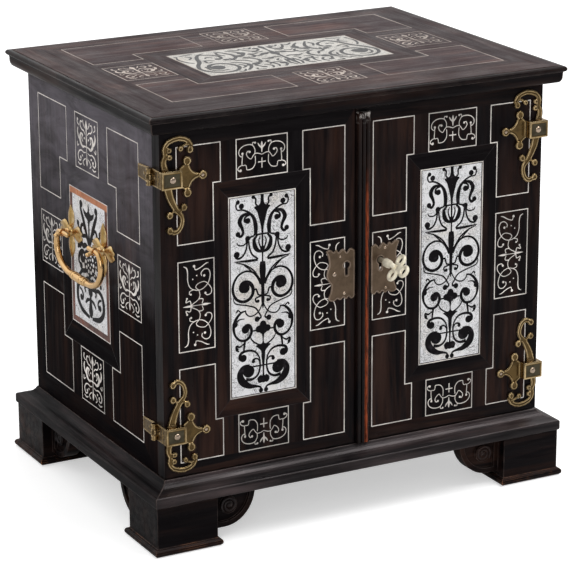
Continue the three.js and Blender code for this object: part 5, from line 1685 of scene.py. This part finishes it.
def dress_foot(side, place, brass, material):
    """Spiral curls on both brackets of a foot."""
    low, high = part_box(f"foot_{place}_{side}")
    sign_x = 1 if side == "left" else -1
    sign_y = 1 if place == "front" else -1
    outer = Vector((low.x if side == "left" else high.x, low.y if place == "front" else high.y, 0))
    inner = Vector((high.x if side == "left" else low.x, high.y if place == "front" else low.y, 0))
    level = high.z - brass.curl_drop
    along_x = inner.x - sign_x * (brass.bracket_reach - brass.curl_reach)
    along_y = inner.y - sign_y * (brass.bracket_reach - brass.curl_reach)
    face_y = outer.y + sign_y * brass.bracket_set_back
    face_x = outer.x + sign_x * brass.bracket_set_back
    mesh = bmesh.new()
    up = Vector((0, 0, 1))
    way_x, way_y = Vector((sign_x, 0, 0)), Vector((0, sign_y, 0))
    add_curl(mesh, Vector((along_x, face_y, level)), way_x, up, -way_y, brass)
    add_curl(mesh, Vector((face_x, along_y, level)), way_y, up, -way_x, brass)
    bmesh.ops.recalc_face_normals(mesh, faces=mesh.faces)
    new_piece(f"foot_{place}_{side}_curls", mesh, "case", material, smooth=True)


# Key's shank and collar from the door outwards: where along the collar, and the radius as a share of
# the collar's.
COLLAR_SHARES = [(0, 0.68), (0.06, 0.88), (0.16, 1.0), (0.60, 1.0), (0.80, 0.92), (0.92, 0.78), (1, 0.66)]


def make_key(material, size):
    """The key: shank, collar, bow of three rings and bit, leaning as it stands in the lock."""
    low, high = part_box("key")
    middle = (low + high) / 2
    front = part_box("right_door")[0].y
    axis = Vector((middle.x, front, middle.z))
    out = Vector((0, -1, 0))
    rise = Vector((math.sin(size.turn), 0, math.cos(size.turn)))
    side = Vector((math.cos(size.turn), 0, -math.sin(size.turn)))
    inside = high.y - front
    mesh = bmesh.new()
    collar_length = size.collar_end - size.collar_start
    profile = [(-inside, size.shank_radius), (size.collar_start, size.shank_radius)]
    for along, radius in COLLAR_SHARES:
        profile.append((size.collar_start + along * collar_length, radius * size.collar_radius))
    profile.append((size.hub_reach, size.shank_radius))
    add_turned(mesh, axis, out, profile)
    near, height = size.near_reach, size.near_rise
    for reach, above in ((near, height), (near, -height), (size.far_reach, 0)):
        centre = axis + out * reach + rise * above
        add_ring(mesh, centre, side, size.ring_radius, 2 * size.ring_wire, 2 * size.ring_wire, 32, 14)
    heart = axis + out * ((2 * size.near_reach + size.far_reach) / 3)
    half_thickness = size.heart_thickness / 2
    steps = 8
    profile = []
    for k in range(steps + 1):
        turn = math.pi * (k / steps - 0.5)
        profile.append((half_thickness * math.sin(turn), max(0.02, math.cos(turn)) * size.heart_radius))
    add_turned(mesh, heart, side, profile)
    bit_end = inside - size.bit_gap
    corners = []
    for across in (-size.bit_thickness / 2, size.bit_thickness / 2):
        for inward in (bit_end - size.bit_length, bit_end):
            for drop in (0, size.bit_reach):
                corners.append(mesh.verts.new(axis + side * across - out * inward - rise * drop))
    bmesh.ops.convex_hull(mesh, input=corners)
    bmesh.ops.recalc_face_normals(mesh, faces=mesh.faces)
    piece = new_piece("key_turned", mesh, "key", material, smooth=True)
    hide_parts("key")


# Operators


class CASKET_OT_stage(bpy.types.Operator):
    """Camera, floor, world and lamps"""

    bl_idname = "casket.stage"
    bl_label = "Stage"

    def execute(self, context):
        scene = context.scene
        stage = scene.casket_stage
        scene.view_settings.view_transform = "Standard"
        self.make_camera(scene, stage)
        self.make_floor(scene, stage)
        self.make_world(scene, stage)
        self.make_lamps(scene, stage)
        return {"FINISHED"}

    def make_camera(self, scene, stage):
        data = bpy.data.cameras.new("Casket camera")
        data.lens = stage.lens
        data.sensor_width = stage.sensor
        data.clip_end = stage.sight
        camera = bpy.data.objects.new("Casket camera", data)
        scene.collection.objects.link(camera)
        turn, dip, roll = stage.turn, stage.dip, stage.roll
        ahead = Vector((math.sin(turn) * math.cos(dip), math.cos(turn) * math.cos(dip), -math.sin(dip)))
        level = Vector((math.cos(turn), -math.sin(turn), 0))
        upright = level.cross(ahead)
        right = level * math.cos(roll) + upright * math.sin(roll)
        up = upright * math.cos(roll) - level * math.sin(roll)
        camera.matrix_world = Matrix((
            (right.x, up.x, -ahead.x, stage.eye[0]),
            (right.y, up.y, -ahead.y, stage.eye[1]),
            (right.z, up.z, -ahead.z, stage.eye[2]),
            (0, 0, 0, 1)))
        scene.camera = camera

    def make_floor(self, scene, stage):
        mesh = bmesh.new()
        half = stage.floor_size
        for x, y in ((-half, -half), (half, -half), (half, half), (-half, half)):
            mesh.verts.new((x, y, 0))
        mesh.faces.new(mesh.verts[:])
        data = bpy.data.meshes.new("Floor")
        mesh.to_mesh(data)
        mesh.free()
        floor = bpy.data.objects.new("Floor", data)
        scene.collection.objects.link(floor)
        data.materials.append(floor_finish("Pale floor", stage))

    def make_world(self, scene, stage):
        world = bpy.data.worlds.new("Studio")
        scene.world = world
        world.use_nodes = True
        tree = world.node_tree
        tree.nodes.clear()
        path = add_node(tree, "ShaderNodeLightPath").outputs
        seen = maths(tree, "MAXIMUM", path["Is Camera Ray"], path["Is Transmission Ray"])
        ways = axes_of(tree, "Generated")
        behind = remap(tree, ways["Y"], -0.5, 0.6, stage.room_strength, stage.wall_strength)
        above = remap(tree, ways["Z"], 0.2, 0.95, 0.0, stage.ceiling_strength)
        glow = maths(tree, "ADD", behind, above)
        plain = add_node(tree, "ShaderNodeBackground", {"Color": (1, 1, 1, 1), "Strength": glow})
        white = add_node(tree, "ShaderNodeBackground", {"Color": (1, 1, 1, 1), "Strength": 1.0})
        both = add_node(tree, "ShaderNodeMixShader", {0: seen, 1: plain.outputs[0], 2: white.outputs[0]})
        add_node(tree, "ShaderNodeOutputWorld", {0: both.outputs[0]})

    def make_lamps(self, scene, stage):
        lamps = [
            ("Key", stage.key_place, stage.key_power, stage.key_size),
            ("Fill", stage.fill_place, stage.fill_power, stage.fill_size),
        ]
        for name, where, power, size in lamps:
            data = bpy.data.lights.new(name, "AREA")
            data.energy = power
            data.size = size
            lamp = bpy.data.objects.new(name, data)
            scene.collection.objects.link(lamp)
            lamp.location = where
            aim = Vector((0, 0, stage.aim_height)) - Vector(where)
            lamp.rotation_mode = "QUATERNION"
            lamp.rotation_quaternion = aim.to_track_quat("-Z", "Y")


class CASKET_OT_case(bpy.types.Operator):
    """Finishes of the case, its mouldings and feet"""

    bl_idname = "casket.case"
    bl_label = "Case"

    def execute(self, context):
        finishes = context.scene.casket_finishes
        brass = context.scene.casket_brass
        dress("top_board", top_finish("Top board", finishes, "X", 0.9))
        for node in ("base_board", "inner_top"):
            dress(node, ebony_finish("Board ebony", finishes, "X"))
        for grain, sides in (("X", ("front", "back")), ("Y", ("left", "right"))):
            cornice = ebony_finish(f"Cornice ebony {grain}", finishes, grain, rubbed=0.9)
            gloss = 0.36 if grain == "X" else 0.05
            # Moulding streaks are brown grain lightened to paint in the sheen of the polish.
            moulding = ebony_finish(f"Moulding ebony {grain}", finishes, grain, gloss=gloss,
                                    brown=finishes.moulding_streak_and_sheen, rubbed=0.8)
            for side in sides:
                dress(f"cornice_{side}", cornice)
                dress(f"base_moulding_{side}", moulding)
        feet = ebony_finish("Foot ebony", finishes, "X", gloss=0.07, scuffed=1.0)
        curls = ebony_finish("Curl ebony", finishes, "X", gloss=0.3)
        for place_name in ("front", "back"):
            for side in ("left", "right"):
                dress(f"foot_{place_name}_{side}", feet)
                dress_foot(side, place_name, brass, curls)
        dress("astragal", reed_finish("Rubbed reeds", finishes))
        # The side boards carry the painted sheen: a reflection painted into their colour towards the top.
        dress("left_side_board", lined_finish("Left side board", finishes, "X", 1, 1.0))
        dress("right_side_board", lined_finish("Right side board", finishes, "X", -1, 1.0))
        dress("back_board", lined_finish("Back board", finishes, "Y", -1))
        dress("drawer_divider", ebony_finish("Divider ebony", finishes, "Y"))
        return {"FINISHED"}


class CASKET_OT_doors(bpy.types.Operator):
    """Finishes and inlay of both doors"""

    bl_idname = "casket.doors"
    bl_label = "Doors"

    def execute(self, context):
        scene = context.scene
        finishes = scene.casket_finishes
        inlay = scene.casket_inlay
        layout = scene.casket_door
        for side in ("left", "right"):
            dress(f"{side}_door", lined_finish("Door board", finishes, "Y", 1))
            dress(f"{side}_door_panel", engraved_ivory(finishes))
            face = door_face(side)
            body = f"{side}_door"
            board = board_reach(face, body, inlay.string_width)
            veneer_frame(body, face, layout, board, body, inlay, finishes,
                         lambda grain: ebony_finish(f"Veneer strip {grain}", finishes, grain))
            arts = (DOOR_MIDDLE_SHARES, DOOR_END_SHARES)
            inlay_lines(body, face, layout, body, arts, inlay.line_weight, inlay,
                        field_finish("Streaked veneer", finishes), ivory_string(finishes))
            ink_scrolls(body, face, DOOR_INK_SHARES, inlay.door_weight, body, inlay, finishes)
        return {"FINISHED"}


class CASKET_OT_sides(bpy.types.Operator):
    """Inlay of both sides"""

    bl_idname = "casket.sides"
    bl_label = "Sides"

    def execute(self, context):
        scene = context.scene
        finishes = scene.casket_finishes
        inlay = scene.casket_inlay
        layout = scene.casket_side
        for side in ("left", "right"):
            dress(f"{side}_side_panel", engraved_ivory(finishes))
            face = side_face(side)
            board = board_reach(face, f"{side}_side_board", inlay.string_width)
            # The sides' veneer strips and corner fields carry the painted sheen too.
            veneer_frame(f"{side}_side", face, layout, board, "case", inlay, finishes,
                         lambda grain: ebony_finish(f"Painted sheen strip {grain}", finishes, grain, 0.5, painted_sheen=1.0))
            arts = (LEAF_PANEL_SHARES, LEAF_PANEL_SHARES)
            inlay_lines(f"{side}_side", face, layout, "case", arts, inlay.leaf_weight, inlay,
                        field_finish("Painted sheen veneer", finishes, 1.0), ivory_string(finishes))
            ink_scrolls(f"{side}_side", face, SIDE_INK_SHARES, inlay.side_weight, "case", inlay, finishes)
            side_cells(f"{side}_side", face, "case", inlay, finishes)
            low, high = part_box(f"{side}_side_panel")
            band = bmesh.new()
            across = layout.frame_across - inlay.string_width
            up = layout.frame_up - inlay.string_width
            width = across - (high.y - low.y) / 2
            add_string(band, face, rectangle(-across, across, -up, up), width, inlay.lift)
            new_piece(f"{side}_side_band", band, "case", band_finish("Mottled band", finishes))
        return {"FINISHED"}


class CASKET_OT_top(bpy.types.Operator):
    """Inlay of the top"""

    bl_idname = "casket.top"
    bl_label = "Top"

    def execute(self, context):
        scene = context.scene
        finishes = scene.casket_finishes
        dress("top_panel", ivory_finish("Aged ivory", finishes, finishes.aged_ivory))
        face = top_face()
        inlay = scene.casket_inlay
        layout = scene.casket_top
        board = board_reach(face, "top_board", inlay.string_width)
        veneer_frame("top", face, layout, board, "case", inlay, finishes,
                     lambda grain: top_finish(f"Top strip {grain}", finishes, grain, 0.75))
        arts = (LEAF_PANEL_SHARES, LEAF_PANEL_SHARES)
        inlay_lines("top", face, layout, "case", arts, inlay.leaf_weight, inlay,
                    top_finish("Top field", finishes, "X", 1.1),
                    string_finish("Aged string", finishes.aged_string))
        ink_scrolls("top", face, TOP_INK_SHARES, inlay.top_weight, "case", inlay, finishes, 0.26)
        return {"FINISHED"}


class CASKET_OT_hinges(bpy.types.Operator):
    """Cast hinges and lock plates"""

    bl_idname = "casket.hinges"
    bl_label = "Hinges and plates"

    def execute(self, context):
        brass = context.scene.casket_brass
        finishes = context.scene.casket_finishes
        arms = ((0, -1, 0), brass.swell_reach, brass.swell_depth, brass.swell_groove)
        flat = ((0, -1, 0), brass.plate_reach, brass.plate_depth, brass.plate_groove)
        for side in ("left", "right"):
            cast_copy(f"{side}_lock_plate", plate_brass(finishes), brass, [flat], plate_solid(side, brass))
            dress_plate(side, brass, finishes)
            out = (-1 if side == "left" else 1, 0, 0)
            edge = (out, brass.plate_reach, brass.plate_depth, brass.plate_groove)
            for row in ("upper", "lower"):
                for leaf in ("door_leaf", "case_leaf"):
                    cast_copy(f"{side}_{row}_hinge_{leaf}", aged_brass(finishes), brass,
                              [arms, edge] if leaf == "door_leaf" else [edge])
                dress_strap(side, row, brass, finishes)
        return {"FINISHED"}


class CASKET_OT_lock(bpy.types.Operator):
    """Key, bolt and lock case"""

    bl_idname = "casket.lock"
    bl_label = "Lock and key"

    def execute(self, context):
        finishes = context.scene.casket_finishes
        make_key(key_brass(finishes), context.scene.casket_key)
        for node in ("lock_case", "lock_bolt"):
            dress(node, iron_finish("Filed iron", finishes))
        return {"FINISHED"}


class CASKET_OT_handles(bpy.types.Operator):
    """Bails and leaf rosettes"""

    bl_idname = "casket.handles"
    bl_label = "Handles"

    def execute(self, context):
        brass = context.scene.casket_brass
        finishes = context.scene.casket_finishes
        for side in ("left", "right"):
            make_bail(side, bright_brass(finishes), brass)
            for place in ("front", "back"):
                make_rosette(side, place, leaf_brass(finishes), bright_brass(finishes), brass)
        return {"FINISHED"}


class CASKET_OT_drawers(bpy.types.Operator):
    """Drawers with an inlaid line round each front, and their knobs"""

    bl_idname = "casket.drawers"
    bl_label = "Drawers"

    def execute(self, context):
        scene = context.scene
        finishes = scene.casket_finishes
        inlay = scene.casket_inlay
        brass = scene.casket_brass
        margin = inlay.drawer_margin
        for column in ("left", "right"):
            for row in ("lower", "middle", "upper"):
                name = f"{column}_{row}_drawer"
                dress(name, drawer_finish("Walnut drawer", finishes))
                cast_copy(f"{name}_knob", key_brass(finishes), brass, [])
                low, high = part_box(name)
                middle = (low + high) / 2
                middle.y = low.y
                face = Face(middle, (1, 0, 0), (0, 0, 1), (0, -1, 0))
                half_across = (high.x - low.x) / 2 - margin
                half_up = (high.z - low.z) / 2 - margin
                lines = bmesh.new()
                box = rectangle(-half_across, half_across, -half_up, half_up)
                add_string(lines, face, box, inlay.string_width, inlay.lift)
                new_piece(f"{name}_string", lines, name, ivory_string(finishes))
        return {"FINISHED"}


class CASKET_PT_panel(bpy.types.Panel):
    """Lists the steps that build the cabinet"""

    bl_idname = "CASKET_PT_panel"
    bl_label = "Casket"
    bl_space_type = "VIEW_3D"
    bl_region_type = "UI"
    bl_category = "Casket"

    def draw(self, context):
        for operator in OPERATORS:
            self.layout.operator(operator.bl_idname)


SETTINGS = {
    "casket_inlay": CasketInlaySettings,
    "casket_door": CasketDoorSettings,
    "casket_side": CasketSideSettings,
    "casket_top": CasketTopSettings,
    "casket_finishes": CasketFinishSettings,
    "casket_brass": CasketBrassSettings,
    "casket_key": CasketKeySettings,
    "casket_stage": CasketStageSettings,
}
OPERATORS = (
    CASKET_OT_stage,
    CASKET_OT_case,
    CASKET_OT_doors,
    CASKET_OT_sides,
    CASKET_OT_top,
    CASKET_OT_hinges,
    CASKET_OT_lock,
    CASKET_OT_handles,
    CASKET_OT_drawers,
)


def register():
    for name, group in SETTINGS.items():
        bpy.utils.register_class(group)
        setattr(bpy.types.Scene, name, PointerProperty(type=group))
    for operator in OPERATORS:
        bpy.utils.register_class(operator)
    bpy.utils.register_class(CASKET_PT_panel)


def unregister():
    bpy.utils.unregister_class(CASKET_PT_panel)
    for operator in reversed(OPERATORS):
        bpy.utils.unregister_class(operator)
    for name, group in reversed(SETTINGS.items()):
        delattr(bpy.types.Scene, name)
        bpy.utils.unregister_class(group)


def main():
    register()
    bpy.ops.casket.stage()
    bpy.ops.casket.case()
    bpy.ops.casket.doors()
    bpy.ops.casket.sides()
    bpy.ops.casket.top()
    bpy.ops.casket.hinges()
    bpy.ops.casket.lock()
    bpy.ops.casket.handles()
    bpy.ops.casket.drawers()


if __name__ == "__main__":
    main()
